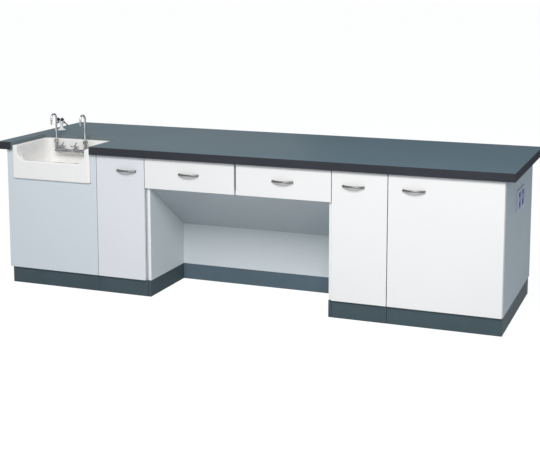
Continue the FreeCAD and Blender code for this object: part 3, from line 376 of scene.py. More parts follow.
# ---- Doors, drawer fronts and the panel under the sink
# White melamine on 18 mm board, lipped all round in a brighter plastic; the fronts hang proud of the
# cabinets, so every lipping shows as a fine light line.
white_film = fine_grained("white_melamine", (0.885, 0.878, 0.878), 0.36, 0.008, 1.2, 0.1)
# The narrow left door and the panel under the sink take darker, bluer copies of the white melamine, a
# painted shade where the lamps' light falls off towards the left.
narrow_door_shade_film = fine_grained("narrow_door_shade_melamine", (0.79, 0.802, 0.845), 0.36, 0.008, 1.2, 0.1)
sink_panel_shade_film = fine_grained("sink_panel_shade_melamine", (0.686, 0.74, 0.795), 0.36, 0.01, 1.2, 0.1)

for node, film, body in (("sink_front_panel", sink_panel_shade_film, "bench"),
                         ("door_narrow_left", narrow_door_shade_film, "door_narrow_left_leaf"),
                         ("door_narrow_right", white_film, "door_narrow_right_leaf"),
                         ("door_wide", white_film, "door_wide_leaf"),
                         ("drawer_front_left", white_film, "drawer_left"),
                         ("drawer_front_right", white_film, "drawer_right")):
    front = eased_copy(node, 0.0012, 3)
    lipped(front, 1)
    settle(front, f"{node}_faced", [film, white_lipping], body)
    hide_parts(node)


# ---- Plinth
# Slate-grey laminate boards on edge, clipped to moulded levelling feet that carry the cabinets. The board
# at the back of the knee space takes a paler copy of the slate, a painted light the recess doesn't get.
slate_film, recess_lit_slate_film = [
    surface(name, colour, roughness, drift=drift, drift_size=5, grain=0.16, grain_size=620,
            sheen_drift=0.02, flecks=flecks, fleck_size=330, specular=0.04)
    for name, colour, roughness, drift, flecks in (
        ("slate_laminate", (0.073, 0.103, 0.12), 0.5, 0.06, (0.1, 0.135, 0.15)),
        ("knee_back_lit_slate", (0.11, 0.155, 0.19), 0.55, 0.08, (0.14, 0.19, 0.22)))]
front_low, front_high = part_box("plinth_front_boards")
rear_low, rear_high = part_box("plinth_end_and_rear_boards")
LEFT_END, RIGHT_END = rear_low.x, rear_high.x
FRONT, REAR, KNEE_REAR = front_low.y, rear_high.y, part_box("plinth_knee_boards")[1].y
HEIGHT, JOINT = front_high.z, 0.0009
stops = (LEFT_END, SINK_END, KNEE_LEFT, KNEE_RIGHT, WIDE_START, RIGHT_END)
spans = list(zip(stops, stops[1:]))
fronts = [((start + JOINT*(start != LEFT_END), FRONT, 0),
           (end - JOINT*(end != RIGHT_END), FRONT + BOARD, HEIGHT))
          for start, end in spans if start != KNEE_LEFT]
rears = [((start, REAR - BOARD, 0), (end, REAR, HEIGHT)) for start, end in spans]
rears += [((start, FRONT + BOARD, 0), (start + BOARD, REAR - BOARD, HEIGHT))
          for start in (LEFT_END, RIGHT_END - BOARD)]
knees = [((KNEE_LEFT + JOINT, FRONT, 0), (KNEE_LEFT + BOARD, KNEE_REAR, HEIGHT)),
         ((KNEE_LEFT + BOARD, KNEE_REAR - BOARD, 0), (KNEE_RIGHT - BOARD, KNEE_REAR, HEIGHT)),
         ((KNEE_RIGHT - BOARD, FRONT, 0), (KNEE_RIGHT - JOINT, KNEE_REAR, HEIGHT))]
for node, corners in (("plinth_front_boards", fronts), ("plinth_knee_boards", knees),
                      ("plinth_end_and_rear_boards", rears)):
    skirt = boards(EASE, *corners)
    # The rear board of the knee plinth takes the paler slate, a painted light.
    for face in skirt.data.polygons:
        face.material_index = int(node == "plinth_knee_boards" and abs(face.normal.y) > 0.9
                                  and face.center.y > FRONT + BOARD)
    settle(skirt, f"{node}_faced", [slate_film, recess_lit_slate_film], "bench")
    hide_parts(node)

foot_black = surface("foot_black", (0.035, 0.036, 0.038), 0.5, drift=0.1, drift_size=60, grain=0.2,
                     grain_size=1200)


def turned(rings, place=(0, 0, 0), turn=(0, 0, 0), sides=32):
    """A turned piece: a ring of points drawn out along its own axis, ring by ring, and closed"""
    bpy.ops.object.select_all(action="DESELECT")
    along, radius = rings[0]
    bpy.ops.mesh.primitive_circle_add(vertices=sides, radius=radius, fill_type="NOTHING",
                                      location=(0, 0, along))
    item = bpy.context.object
    bpy.ops.object.transform_apply(location=True)
    opened(item)
    bpy.ops.mesh.edge_face_add()
    bpy.ops.mesh.select_all(action="SELECT")
    for far, wide in rings[1:]:
        bpy.ops.mesh.extrude_region_move(TRANSFORM_OT_translate={"value": (0, 0, far - along)})
        bpy.ops.transform.resize(value=(wide/radius, wide/radius, 1), center_override=(0, 0, far))
        along, radius = far, wide
    bpy.ops.mesh.select_all(action="SELECT")
    bpy.ops.mesh.normals_make_consistent(inside=False)
    bpy.ops.object.mode_set(mode="OBJECT")
    item.data.transform(Matrix.Translation(place) @ Euler(turn).to_matrix().to_4x4())
    bpy.ops.object.shade_smooth_by_angle(angle=math.radians(35))
    return item


def copies(item, places):
    """The same shape at other places, each with its own mesh, joined with the first"""
    made = [item]
    for place in places:
        twin = item.copy()
        twin.data = item.data.copy()
        twin.data.transform(Matrix.Translation(place))
        bpy.context.scene.collection.objects.link(twin)
        made.append(twin)
    return joined(*made)


def islands(node):
    """The middle, lowest and highest corner of each separate solid in a node"""
    net = bmesh.new()
    net.from_mesh(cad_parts[node].data)
    bmesh.ops.remove_doubles(net, verts=net.verts, dist=1e-6)
    left = set(net.verts)
    found = []
    while left:
        group, edge = set(), [left.pop()]
        while edge:
            point = edge.pop()
            group.add(point)
            for link in point.link_edges:
                other = link.other_vert(point)
                if other in left:
                    left.discard(other)
                    edge.append(other)
        low = Vector([min(point.co[i] for point in group) for i in range(3)])
        high = Vector([max(point.co[i] for point in group) for i in range(3)])
        found.append(((low + high)/2, low, high))
    net.free()
    return sorted(found, key=lambda item: tuple(round(part, 4) for part in item[0]))


foot_places = [middle for middle, low, high in islands("levelling_feet")]
first = foot_places[0]
foot = turned([(0, 0.0225), (0.0015, 0.0245), (0.006, 0.0245), (0.010, 0.021), (0.0105, 0.013),
               (0.040, 0.013), (0.0405, 0.0139), (0.048, 0.0139), (0.0485, 0.013), (0.0515, 0.013),
               (0.052, 0.0139), (0.099, 0.0139), (0.0998, 0.0132)], (first.x, first.y, 0), sides=28)
feet = copies(foot, [(spot.x - first.x, spot.y - first.y, 0) for spot in foot_places[1:]])
settle(feet, "levelling_feet_moulded", [foot_black], "bench")
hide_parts("levelling_feet")


# ---- Worktop
# One thick slab of cast resin, moulded with an eased upper edge, satin and faintly mottled. Its top is a
# paler teal than its dark edges, a painted sheen on the upward face, and the faces of the opening are paler
# still, a painted light where they face the lamps. The opening for the sink is sawn through its front edge,
# and a drip groove runs under the rest of that edge.
resin_sheen_top = surface("resin_sheen_top", (0.1, 0.156, 0.192), 0.45, drift=0.05, drift_size=1.6, grain=0.1,
                    grain_size=520, sheen_drift=0.012, flecks=(0.17, 0.235, 0.275), fleck_size=260,
                    specular=0.04)
resin_edge = surface("resin_edge", (0.046, 0.048, 0.058), 0.55, drift=0.06, drift_size=5, grain=0.08,
                     grain_size=520, sheen_drift=0.02, specular=0.012)
resin_lit_opening = surface("resin_lit_opening", (0.18, 0.225, 0.24), 0.6, drift=0.06, drift_size=5, grain=0.2,
                     grain_size=520, sheen_drift=0.02, specular=0.1)


def rounded_edges(item, chosen, ease, segments):
    """Round the edges of a piece that pass a test"""
    opened(item, "DESELECT")
    bpy.ops.mesh.select_mode(type="EDGE")
    net = bmesh.from_edit_mesh(item.data)
    for edge in net.edges:
        edge.select_set(chosen(edge))
    bmesh.update_edit_mesh(item.data)
    bpy.ops.mesh.bevel(offset=ease, segments=segments, profile=0.5)
    bpy.ops.object.mode_set(mode="OBJECT")
    return item


def block(low, high, ease, edges, segments=6):
    """A block between two corners, with the edges that run along the named axes rounded"""
    def runs_along(edge):
        run = (edge.verts[0].co - edge.verts[1].co).normalized()
        return any(abs(run["XYZ".index(axis)]) > 0.9 for axis in edges)
    return rounded_edges(cube(low, high), runs_along, ease, segments)


def rounded_rim(item, wanted, ease, segments=4):
    """Round the sharp edges whose two ends both satisfy a test of place"""
    def lies_there(edge):
        return all(wanted(point.co) for point in edge.verts) and edge.calc_face_angle(0) > math.radians(40)
    return rounded_edges(item, lies_there, ease, segments)


def hollowed(item, *tools):
    """Take the tools out of a piece"""
    for tool in tools:
        carve = item.modifiers.new("carve", "BOOLEAN")
        carve.operation = "DIFFERENCE"
        carve.solver = "EXACT"
        carve.object = tool
        only(item)
        bpy.ops.object.modifier_apply(modifier="carve")
        bpy.data.objects.remove(tool)
    return item


top_low, top_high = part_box("worktop")
sink_low, sink_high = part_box("sink")
TOP_ROUND, SINK_PLAY, OPENING_ROUND, PAST, CLOSE = 0.005, 0.002, 0.012, 0.05, 1e-4
DRIP_FRONT, DRIP_BACK, DRIP_DEPTH, DRIP_ROUND = 0.0045, 0.0085, 0.003, 0.0015
slab = rounded_rim(cube(top_low, top_high), lambda spot: spot.z > top_high.z - CLOSE, TOP_ROUND, 5)
opening = rounded_rim(cube((sink_low.x - SINK_PLAY, top_low.y - PAST, top_low.z - PAST),
                           (sink_high.x + SINK_PLAY, sink_high.y + SINK_PLAY, top_high.z + PAST)),
                      lambda spot: spot.y > sink_high.y, OPENING_ROUND, 5)
drip_groove = block((sink_high.x + 0.012, top_low.y + DRIP_FRONT, top_low.z - 0.01),
                    (top_high.x - 0.02, top_low.y + DRIP_BACK, top_low.z + DRIP_DEPTH), DRIP_ROUND, "X", 3)
hollowed(slab, opening, drip_groove)
eased(slab, 0.0012)
# Upward faces take the resin's sheen copy, a painted sheen, and the opening's faces its lit copy, a painted
# light.
for face in slab.data.polygons:
    spot = face.center
    sawn = (sink_low.x - 0.01 < spot.x < sink_high.x + 0.01
            and top_low.y + TOP_ROUND < spot.y < sink_high.y + 0.01)
    face.material_index = 0 if face.normal.z > 0.75 else 2 if sawn else 1
settle(slab, "worktop_slab", [resin_sheen_top, resin_edge, resin_lit_opening], "bench")
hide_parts("worktop")


# ---- Sink
# Glazed fireclay, cast thick, with a scooped apron and every edge rounded by the glaze; it stands on two
# bearers between the cabinet sides and comes up through the opening in the worktop.
glaze = surface("white_glaze", (0.93, 0.92, 0.905), 0.09, drift=0.012, drift_size=4, grain=0.02,
                grain_size=60, sheen_drift=0.03, coat=0.6)
SINK_WALL, SINK_FRONT_WALL, SINK_BACK_WALL, SINK_FLOOR, SCOOP = 0.036, 0.040, 0.038, 0.030, 0.093
CORNER_ROUND, BOWL_ROUND, BOTTOM_ROUND, SCOOP_ROUND = 0.012, 0.045, 0.026, 0.055
inner_low, inner_high = sink_low.x + SINK_WALL, sink_high.x - SINK_WALL
bowl_front, bowl_floor, above = sink_low.y + SINK_FRONT_WALL, sink_low.z + SINK_FLOOR, sink_high.z + 0.1
shell = block(sink_low, sink_high, CORNER_ROUND, "Z")
bowl = block((inner_low, bowl_front, bowl_floor), (inner_high, sink_high.y - SINK_BACK_WALL, above),
             BOWL_ROUND, "Z", 8)
rounded_rim(bowl, lambda spot: spot.z < bowl_floor + CLOSE, BOTTOM_ROUND, 6)
scoop = block((inner_low, sink_low.y - PAST, sink_high.z - SCOOP),
              (inner_high, bowl_front + BOWL_ROUND, above), SCOOP_ROUND, "Y", 10)
hollowed(shell, bowl, scoop)
cast = shell.modifiers.new("cast", "REMESH")
cast.mode = "VOXEL"
cast.voxel_size = 0.0036
only(shell)
bpy.ops.object.modifier_apply(modifier="cast")
flow = shell.modifiers.new("glaze", "SMOOTH")
flow.factor = 0.5
flow.iterations = 14
bpy.ops.object.modifier_apply(modifier="glaze")
waste_low, waste_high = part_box("sink_waste")
waste_spot = (waste_low + waste_high)/2
WASTE_HOLE = 0.0225
waste_place = (waste_spot.x, waste_spot.y, 0)
hollowed(shell, turned([(sink_low.z - 0.01, WASTE_HOLE), (bowl_floor + 0.02, WASTE_HOLE)], waste_place))
bpy.ops.object.shade_smooth()
settle(shell, "sink_fireclay", [glaze], "bench")
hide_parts("sink")


# ---- Sink waste and trap
# A pressed steel strainer with a rolled flange, screwed down into the tail of a white moulded bottle
# trap; its ribbed cap nut unscrews for cleaning, and the pipe leaves through the back of the cabinet.
strainer_steel = fine_grained("strainer_steel", (0.62, 0.62, 0.61), 0.22, 0.05, 40, 0.05, metallic=1,
                              sheen_drift=0.06)
trap_white = surface("trap_white", (0.8, 0.8, 0.79), 0.4, drift=0.03, drift_size=12, grain=0.1,
                     grain_size=500)
TAIL_BORE, STRAINER_HOLE, rim_height = 0.018, 0.0019, waste_high.z
strainer = turned([(waste_low.z, 0.022)] + [(rim_height - down, radius) for down, radius in (
    (0.006, 0.022), (0.004, 0.0235), (0.0038, 0.0325), (0.0028, 0.0338), (0.0012, 0.0338),
    (0.0002, 0.0325), (0, 0.0305), (0.0006, 0.0275), (0.0018, 0.0235), (0.0024, 0.018),
    (0.0025, 0.006), (0.0012, 0.0052), (0.0008, 0.0040))], waste_place, sides=48)
hollowed(strainer, turned([(waste_low.z - 0.01, TAIL_BORE), (rim_height - 0.0045, TAIL_BORE)], waste_place))
for count, ring in ((6, 0.011), (10, 0.0165)):
    for i in range(count):
        angle = 2*math.pi*i/count
        spot = (waste_spot.x + ring*math.cos(angle), waste_spot.y + ring*math.sin(angle), 0)
        hollowed(strainer, turned([(rim_height - 0.01, STRAINER_HOLE), (rim_height + 0.01, STRAINER_HOLE)],
                                  spot, sides=12))
settle(strainer, "sink_strainer", [strainer_steel], "bench")
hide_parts("sink_waste")

TRAP_LAP, DRAIN_DROP, TO_BACK = 0.004, 0.096, (-QUARTER, 0, 0)
trap_top = (waste_spot.x, waste_spot.y, waste_low.z + TRAP_LAP)
drain_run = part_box("waste_trap")[1].y - waste_spot.y
bottle = turned([(-0.123, 0.010), (-0.122, 0.024), (-0.119, 0.0262), (-0.106, 0.0325),
                 (-0.1055, 0.033), (-0.094, 0.033), (-0.0935, 0.0305), (-0.092, 0.0305),
                 (-0.0915, 0.0320), (-0.030, 0.0322), (-0.0295, 0.033), (-0.003, 0.033),
                 (-0.001, 0.031), (0, 0.0275)], trap_top, sides=40)
hollowed(bottle, turned([(-0.0041, 0.0221), (0.01, 0.0221)], trap_top, sides=40))
drain = turned([(0.02, 0.0197), (0.029, 0.0197), (0.0292, 0.0245), (0.030, 0.025), (0.046, 0.025),
                (0.047, 0.0245), (0.0472, 0.0197), (0.742, 0.0197), (0.743, 0.0187),
                (drain_run - 0.001, 0.0187), (drain_run, 0.0180), (drain_run, 0.0160),
                (drain_run - 0.012, 0.0160)],
               (waste_spot.x, waste_spot.y, sink_low.z - DRAIN_DROP), TO_BACK, sides=40)
settle(joined(bottle, drain), "bottle_trap", [trap_white], "bench")
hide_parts("waste_trap")


# ---- Bridge tap
# Chromium-plated brass: two cast end bodies and a bar between them, held by shanks through the back wall
# of the sink with domed flanges in front and hexagon nuts behind, and two valves that lean forward.
chrome = surface("chrome_plate", (0.6, 0.61, 0.625), 0.07, metallic=1, drift=0.05, drift_size=30,
                 grain=0.03, grain_size=500, sheen_drift=0.025)
cast_chrome = surface("cast_chrome", (0.36, 0.365, 0.375), 0.13, metallic=1, drift=0.12, drift_size=60,
                      grain=0.05, grain_size=400, sheen_drift=0.05)
tap_low, tap_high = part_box("tap_bridge")
FLANGE, TAP_REACH, RISER, VALVE_ASIDE = 0.023, 0.040, 0.051, 0.047
LEAN, TO_RIGHT = math.radians(45), (0, QUARTER, 0)
TAP_ENDS = (tap_low.x + FLANGE, tap_high.x - FLANGE)
TAP_LINE = sink_high.y - SINK_BACK_WALL - TAP_REACH
RISER_TOP = tap_high.z
TAP_HEIGHT = RISER_TOP - RISER
tap_middle = sum(TAP_ENDS)/2
VALVES = (tap_middle - VALVE_ASIDE, tap_middle + VALVE_ASIDE)

half = tap_middle - TAP_ENDS[0]
bar = [(along - half, radius) for along, radius in (
    (-0.0130, 0.0030), (-0.0118, 0.0070), (-0.0085, 0.0105), (-0.0040, 0.0125), (0, 0.0130),
    (0.0120, 0.0130), (0.0132, 0.0118), (0.0145, 0.0118), (0.0157, 0.0130), (0.0225, 0.0130),
    (0.0240, 0.0112))]
bar += [(-0.064, 0.0112), (-0.0625, 0.0130), (-0.0320, 0.0130), (-0.0305, 0.0112)]
bar += [(-along, radius) for along, radius in reversed(bar)]
pieces = [turned(bar, (tap_middle, TAP_LINE, TAP_HEIGHT), TO_RIGHT, sides=36)]
for across in TAP_ENDS:
    spot = (across, TAP_LINE, TAP_HEIGHT)
    pieces.append(turned([(0, 0.0100), (0.0130, 0.0100), (0.0142, 0.0110), (0.0172, 0.0110),
                          (0.0184, 0.0096), (0.0430, 0.0096), (0.0442, 0.0110), (0.0500, 0.0110),
                          (0.0510, 0.0100)], spot, sides=36))
    pieces.append(turned([(0, 0.0098), (0.0150, 0.0098), (0.0156, 0.0118), (0.0160, 0.0120),
                          (0.0250, 0.0120), (0.0256, 0.0116), (0.0258, 0.0098), (0.0290, 0.0100),
                          (0.0310, 0.0112), (0.0330, 0.0140), (0.0352, 0.0190), (0.0372, 0.0222),
                          (0.0388, FLANGE), (0.0400, FLANGE), (0.0400, 0.0098), (0.0955, 0.0098),
                          (0.0960, 0.0090)], spot, TO_BACK, sides=40))
for across in VALVES:
    for rings, sides in (([(0, 0.0102), (0.0135, 0.0102), (0.0148, 0.0110), (0.0205, 0.0110),
                           (0.0215, 0.0098), (0.0225, 0.0098)], 32),
                         ([(0.0215, 0.0100), (0.0225, 0.0112), (0.0300, 0.0112), (0.0310, 0.0100)], 6),
                         ([(0.0300, 0.0092), (0.0330, 0.0090), (0.0370, 0.0076), (0.0395, 0.0070),
                           (0.0400, 0.0062)], 32)):
        pieces.append(turned(rings, (across, TAP_LINE, TAP_HEIGHT), (LEAN, 0, 0), sides))
settle(joined(*pieces), "tap_body", [cast_chrome], "bench")
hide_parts("tap_bridge")


def hexagon_nut(place, turn, height, bore):
    """A chamfered hexagon nut with a bore through it"""
    nut = turned([(0, 0.0132), (0.0013, 0.0150), (height - 0.0013, 0.0150), (height, 0.0132)], place, turn,
                 sides=6)
    return hollowed(nut, turned([(-0.01, bore), (height + 0.01, bore)], place, turn, sides=28))


nuts = []
for across in TAP_ENDS:
    nuts.append(hexagon_nut((across, TAP_LINE, RISER_TOP), (0, 0, 0), 0.018, 0.0073))
    nuts.append(hexagon_nut((across, sink_high.y, TAP_HEIGHT), TO_BACK, 0.010, 0.0100))
settle(joined(*nuts), "tap_hexagon_nuts", [cast_chrome], "bench")
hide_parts("tap_nuts")

HANDLE_OUT = 0.0473
for name, across in zip(("left", "right"), VALVES):
    out = HANDLE_OUT*Vector((0, -math.sin(LEAN), math.cos(LEAN)))
    centre = Vector((across, TAP_LINE, TAP_HEIGHT)) + out
    arm = [(0.0040, 0.0044), (0.0085, 0.0038), (0.0180, 0.0034), (0.0205, 0.0036), (0.0215, 0.0046),
           (0.0232, 0.0050), (0.0262, 0.0050), (0.0290, 0.0044), (0.0308, 0.0031), (0.0319, 0.0013)]
    pieces = [turned([(-0.0070, 0.0068), (-0.0062, 0.0080), (-0.0045, 0.0086), (-0.0030, 0.0082),
                      (0.0030, 0.0082), (0.0042, 0.0088), (0.0050, 0.0086), (0.0060, 0.0066),
                      (0.0066, 0.0040), (0.0068, 0.0015)], centre, (LEAN, 0, 0), sides=36)]
    for turn in (TO_RIGHT, (0, -QUARTER, 0), (LEAN + QUARTER, 0, 0), (LEAN - QUARTER, 0, 0)):
        pieces.append(turned(arm, centre, turn, sides=20))
    settle(joined(*pieces), f"tap_cross_{name}", [cast_chrome], f"valve_handle_{name}")
    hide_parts(f"tap_handle_{name}")


# ---- Swan necks
# Bent from one length of chromium-plated tube each, free to swivel in the risers under their nuts, with a
# screwed-on nozzle whose barbs grip a rubber hose.
def swept(start, facing, radius, steps, sides=24):
    """A round bar or tube, drawn from a disc: (length, new radius) is a run, and a bend is (angle,
    reach, axis, count)"""
    spot, heading = Vector(start), Vector(facing).normalized()
    bpy.ops.object.select_all(action="DESELECT")
    bpy.ops.mesh.primitive_circle_add(vertices=sides, radius=radius, fill_type="NGON", location=spot,
                                      rotation=heading.to_track_quat("Z", "Y").to_euler())
    item = bpy.context.object
    bpy.ops.object.transform_apply(location=True, rotation=True, scale=True)
    opened(item)
    for step in steps:
        if len(step) == 2:
            length, wide = step
            bpy.ops.mesh.extrude_region_move(TRANSFORM_OT_translate={"value": heading*length})
            spot = spot + heading*length
            bpy.ops.transform.resize(value=(wide/radius,)*3, center_override=spot)
            radius = wide
        else:
            angle, reach, axis, count = step
            axis = Vector(axis)
            centre = spot + axis.cross(heading)*reach
            bpy.ops.mesh.spin(steps=count, angle=-angle, center=centre, axis=axis, dupli=False)
            spin = Matrix.Rotation(angle, 3, axis)
            spot = centre + spin @ (spot - centre)
            heading = spin @ heading
    bpy.ops.mesh.select_all(action="SELECT")
    bpy.ops.mesh.remove_doubles(threshold=1e-7)
    bpy.ops.mesh.normals_make_consistent(inside=False)
    bpy.ops.object.mode_set(mode="OBJECT")
    bpy.ops.object.shade_smooth_by_angle(angle=math.radians(35))
    return item


SWAN_BEND, TUBE, BEFORE_BEND = 0.028, 0.0068, 0.0224
for name, across in zip(("left", "right"), TAP_ENDS):
    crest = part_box(f"tap_spout_{name}")[1].z - 0.007 - SWAN_BEND
    collar = [(0.0190, 0.0069), (0.0001, 0.0080), (0.0022, 0.0082), (0.0006, 0.0076), (0.0001, TUBE)]
    tube = [(crest - RISER_TOP - BEFORE_BEND, TUBE), (math.radians(180), SWAN_BEND, (1, 0, 0), 26)]
    barbs = 3*[(0.0002, 0.0066), (0.0012, 0.0064), (0.0050, 0.0046), (0.0012, 0.0045)]
    nozzle = [(0.0066, TUBE), (0.0001, 0.0078), (0.0008, 0.0082), (0.0050, 0.0082), (0.0008, 0.0078),
              (0.0010, 0.0070), *barbs, (0.0008, 0.0040), (0.0001, 0.0026), (-0.0200, 0.0024)]
    neck = swept((across, TAP_LINE, RISER_TOP + 0.0004), (0, 0, 1), 0.0069, collar + tube + nozzle)
    settle(neck, f"swan_neck_{name}", [chrome], f"spout_{name}")
    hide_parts(f"tap_spout_{name}")


# ---- Gas turret
# A cast brass turret coated in white epoxy, screwed down over its hole in the worktop: a flared foot, a
# beaded column that forks, and two cone valves with moulded knobs and ribbed hose nozzles.
white_epoxy = surface("white_epoxy", (0.86, 0.87, 0.88), 0.25, drift=0.02, drift_size=30, grain=0.08,
                      grain_size=420, sheen_drift=0.06)
black_knob = surface("black_knob", (0.022, 0.022, 0.024), 0.33, drift=0.1, drift_size=70, grain=0.15,
                     grain_size=1400, sheen_drift=0.06)
nozzle_plastic = surface("nozzle_coat", (0.1, 0.115, 0.12), 0.3, drift=0.08, drift_size=60, grain=0.06,
                         grain_size=700, sheen_drift=0.06)
turret_low, turret_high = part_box("gas_turret")
TURRET_FOOT, SPREAD, VALVE_LEAN = 0.027, 0.015, math.radians(45)
TURRET = (turret_low.x + TURRET_FOOT, (turret_low.y + turret_high.y)/2)
SEAT = top_high.z
FORK, HEAD = SEAT + 0.030, SEAT + 0.058
pieces = [turned([(-0.0005, 0.0262), (0.0004, TURRET_FOOT), (0.0028, TURRET_FOOT), (0.0040, 0.0262),
                  (0.0044, 0.0246), (0.0058, 0.0222), (0.0080, 0.0180), (0.0110, 0.0143),
                  (0.0145, 0.0118), (0.0180, 0.0105), (0.0196, 0.0100), (0.0202, 0.0108),
                  (0.0222, 0.0110), (0.0232, 0.0103), (0.0240, 0.0096), (0.0300, 0.0100),
                  (0.0345, 0.0088), (0.0380, 0.0060), (0.0395, 0.0025)], (*TURRET, SEAT), sides=44)]
fork_lean = math.atan2(SPREAD, HEAD - FORK)
fork_reach = math.hypot(SPREAD, HEAD - FORK)
for side in (-1, 1):
    across = TURRET[0] + side*SPREAD
    pieces.append(turned([(0, 0.0070), (fork_reach - 0.003, 0.0066), (fork_reach, 0.0070)],
                         (*TURRET, FORK), (0, side*fork_lean, 0), sides=24))
    pieces.append(turned([(-0.0140, 0.0050), (-0.0136, 0.0072), (-0.0122, 0.0086), (-0.0100, 0.0090),
                          (-0.0070, 0.0090), (-0.0060, 0.0080), (0.0050, 0.0080), (0.0060, 0.0090),
                          (0.0100, 0.0090), (0.0112, 0.0078), (0.0125, 0.0068), (0.0142, 0.0058)],
                         (across, TURRET[1], HEAD), (VALVE_LEAN, 0, 0), sides=32))
settle(joined(*pieces), "gas_turret_casting", [white_epoxy], "bench")
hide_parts("gas_turret")

LOBES, LOBE_DEPTH, HUB, KNOB_RADIUS, KNOB_LIFT = 5, 0.0024, 0.0056, 0.0106, 0.0143
NOZZLE_DIP, NOZZLE_ROOT = math.radians(35), 0.0088
nozzles = []
for name, side in (("left", -1), ("right", 1)):
    across = TURRET[0] + side*SPREAD
    knob = turned([(0, 0.0078), (0.0004, 0.0092), (0.0018, 0.0102), (0.0105, KNOB_RADIUS),
                   (0.0126, 0.0098), (0.0136, 0.0080), (0.0138, HUB), (0.0130, 0.0050),
                   (0.0128, 0.0020)], sides=60)
    for point in knob.data.vertices:
        reach = math.hypot(point.co.x, point.co.y)
        angle = math.atan2(point.co.y, point.co.x) - QUARTER
        outward = max(0, reach - HUB)/(KNOB_RADIUS - HUB)
        wave = 1 + outward*LOBE_DEPTH/KNOB_RADIUS*math.cos(LOBES*angle)
        point.co.x, point.co.y = point.co.x*wave, point.co.y*wave
    knob.data.transform(Matrix.Translation((across, TURRET[1], HEAD))
                        @ Euler((VALVE_LEAN, 0, 0)).to_matrix().to_4x4()
                        @ Matrix.Translation((0, 0, KNOB_LIFT)))
    settle(knob, f"gas_knob_moulding_{name}", [black_knob], f"gas_tap_{name}")
    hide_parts(f"gas_knob_{name}")

    heading = Vector((side*math.cos(NOZZLE_DIP), 0, -math.sin(NOZZLE_DIP)))
    start = Vector((across, TURRET[1], HEAD)) + heading*NOZZLE_ROOT
    barbs = 3*[(0.0022, 0.0038), (0.0002, 0.0050), (0.0008, 0.0050), (0.0046, 0.0036)]
    nozzles.append(swept(start, heading, 0.0052, [
        (0.0004, 0.0056), (0.0045, 0.0056), (0.0006, 0.0048), (0.0003, 0.0038), *barbs,
        (0.0062, 0.0032), (0.0006, 0.0026), (0.0001, 0.0017), (-0.0120, 0.0017)], sides=20))
settle(joined(*nozzles), "gas_hose_nozzles", [nozzle_plastic], "bench")
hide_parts("gas_nozzles")


# ---- Sockets on the right end
# A pale blue-white moulded plate with a raised rim over a box let into the end panel, two grey-blue
# socket modules pressed into it and a dark blue rocker switch in each.
plate_plastic = fine_grained("plate_plastic", (0.70, 0.79, 0.93), 0.35, 0.02, 20, 0.08, specular=0.15)
module_plastic = fine_grained("module_plastic", (0.19, 0.25, 0.5), 0.4, 0.04, 25, 0.1, specular=0.1)
rocker_plastic = fine_grained("rocker_plastic", (0.028, 0.038, 0.14), 0.35, 0.06, 60, 0.06, specular=0.1)
recess_shade_film = fine_grained("recess_painted_shade", (0.018, 0.022, 0.07), 0.5, 0.1, 60, 0.1, specular=0.1)
plate_low, plate_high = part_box("socket_plate")
SOCKET = Vector((plate_high.x, (plate_low.y + plate_high.y)/2, (plate_low.z + plate_high.z)/2))
RIM, POST, THROUGH = 0.008, 0.010, 0.01
plate = rounded_rim(cube(plate_low, plate_high), lambda spot: spot.x > plate_high.x - CLOSE, 0.0035)
windows = ((plate_low.y + RIM, SOCKET.y - POST/2), (SOCKET.y + POST/2, plate_high.y - RIM))
for low, high in windows:
    hollowed(plate, block((plate_low.x - THROUGH, low, plate_low.z + RIM),
                          (plate_high.x + THROUGH, high, plate_high.z - RIM), 0.003, "X", 4))
eased(plate, 0.0007)
settle(plate, "socket_frame", [plate_plastic], "bench")
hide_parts("socket_plate")

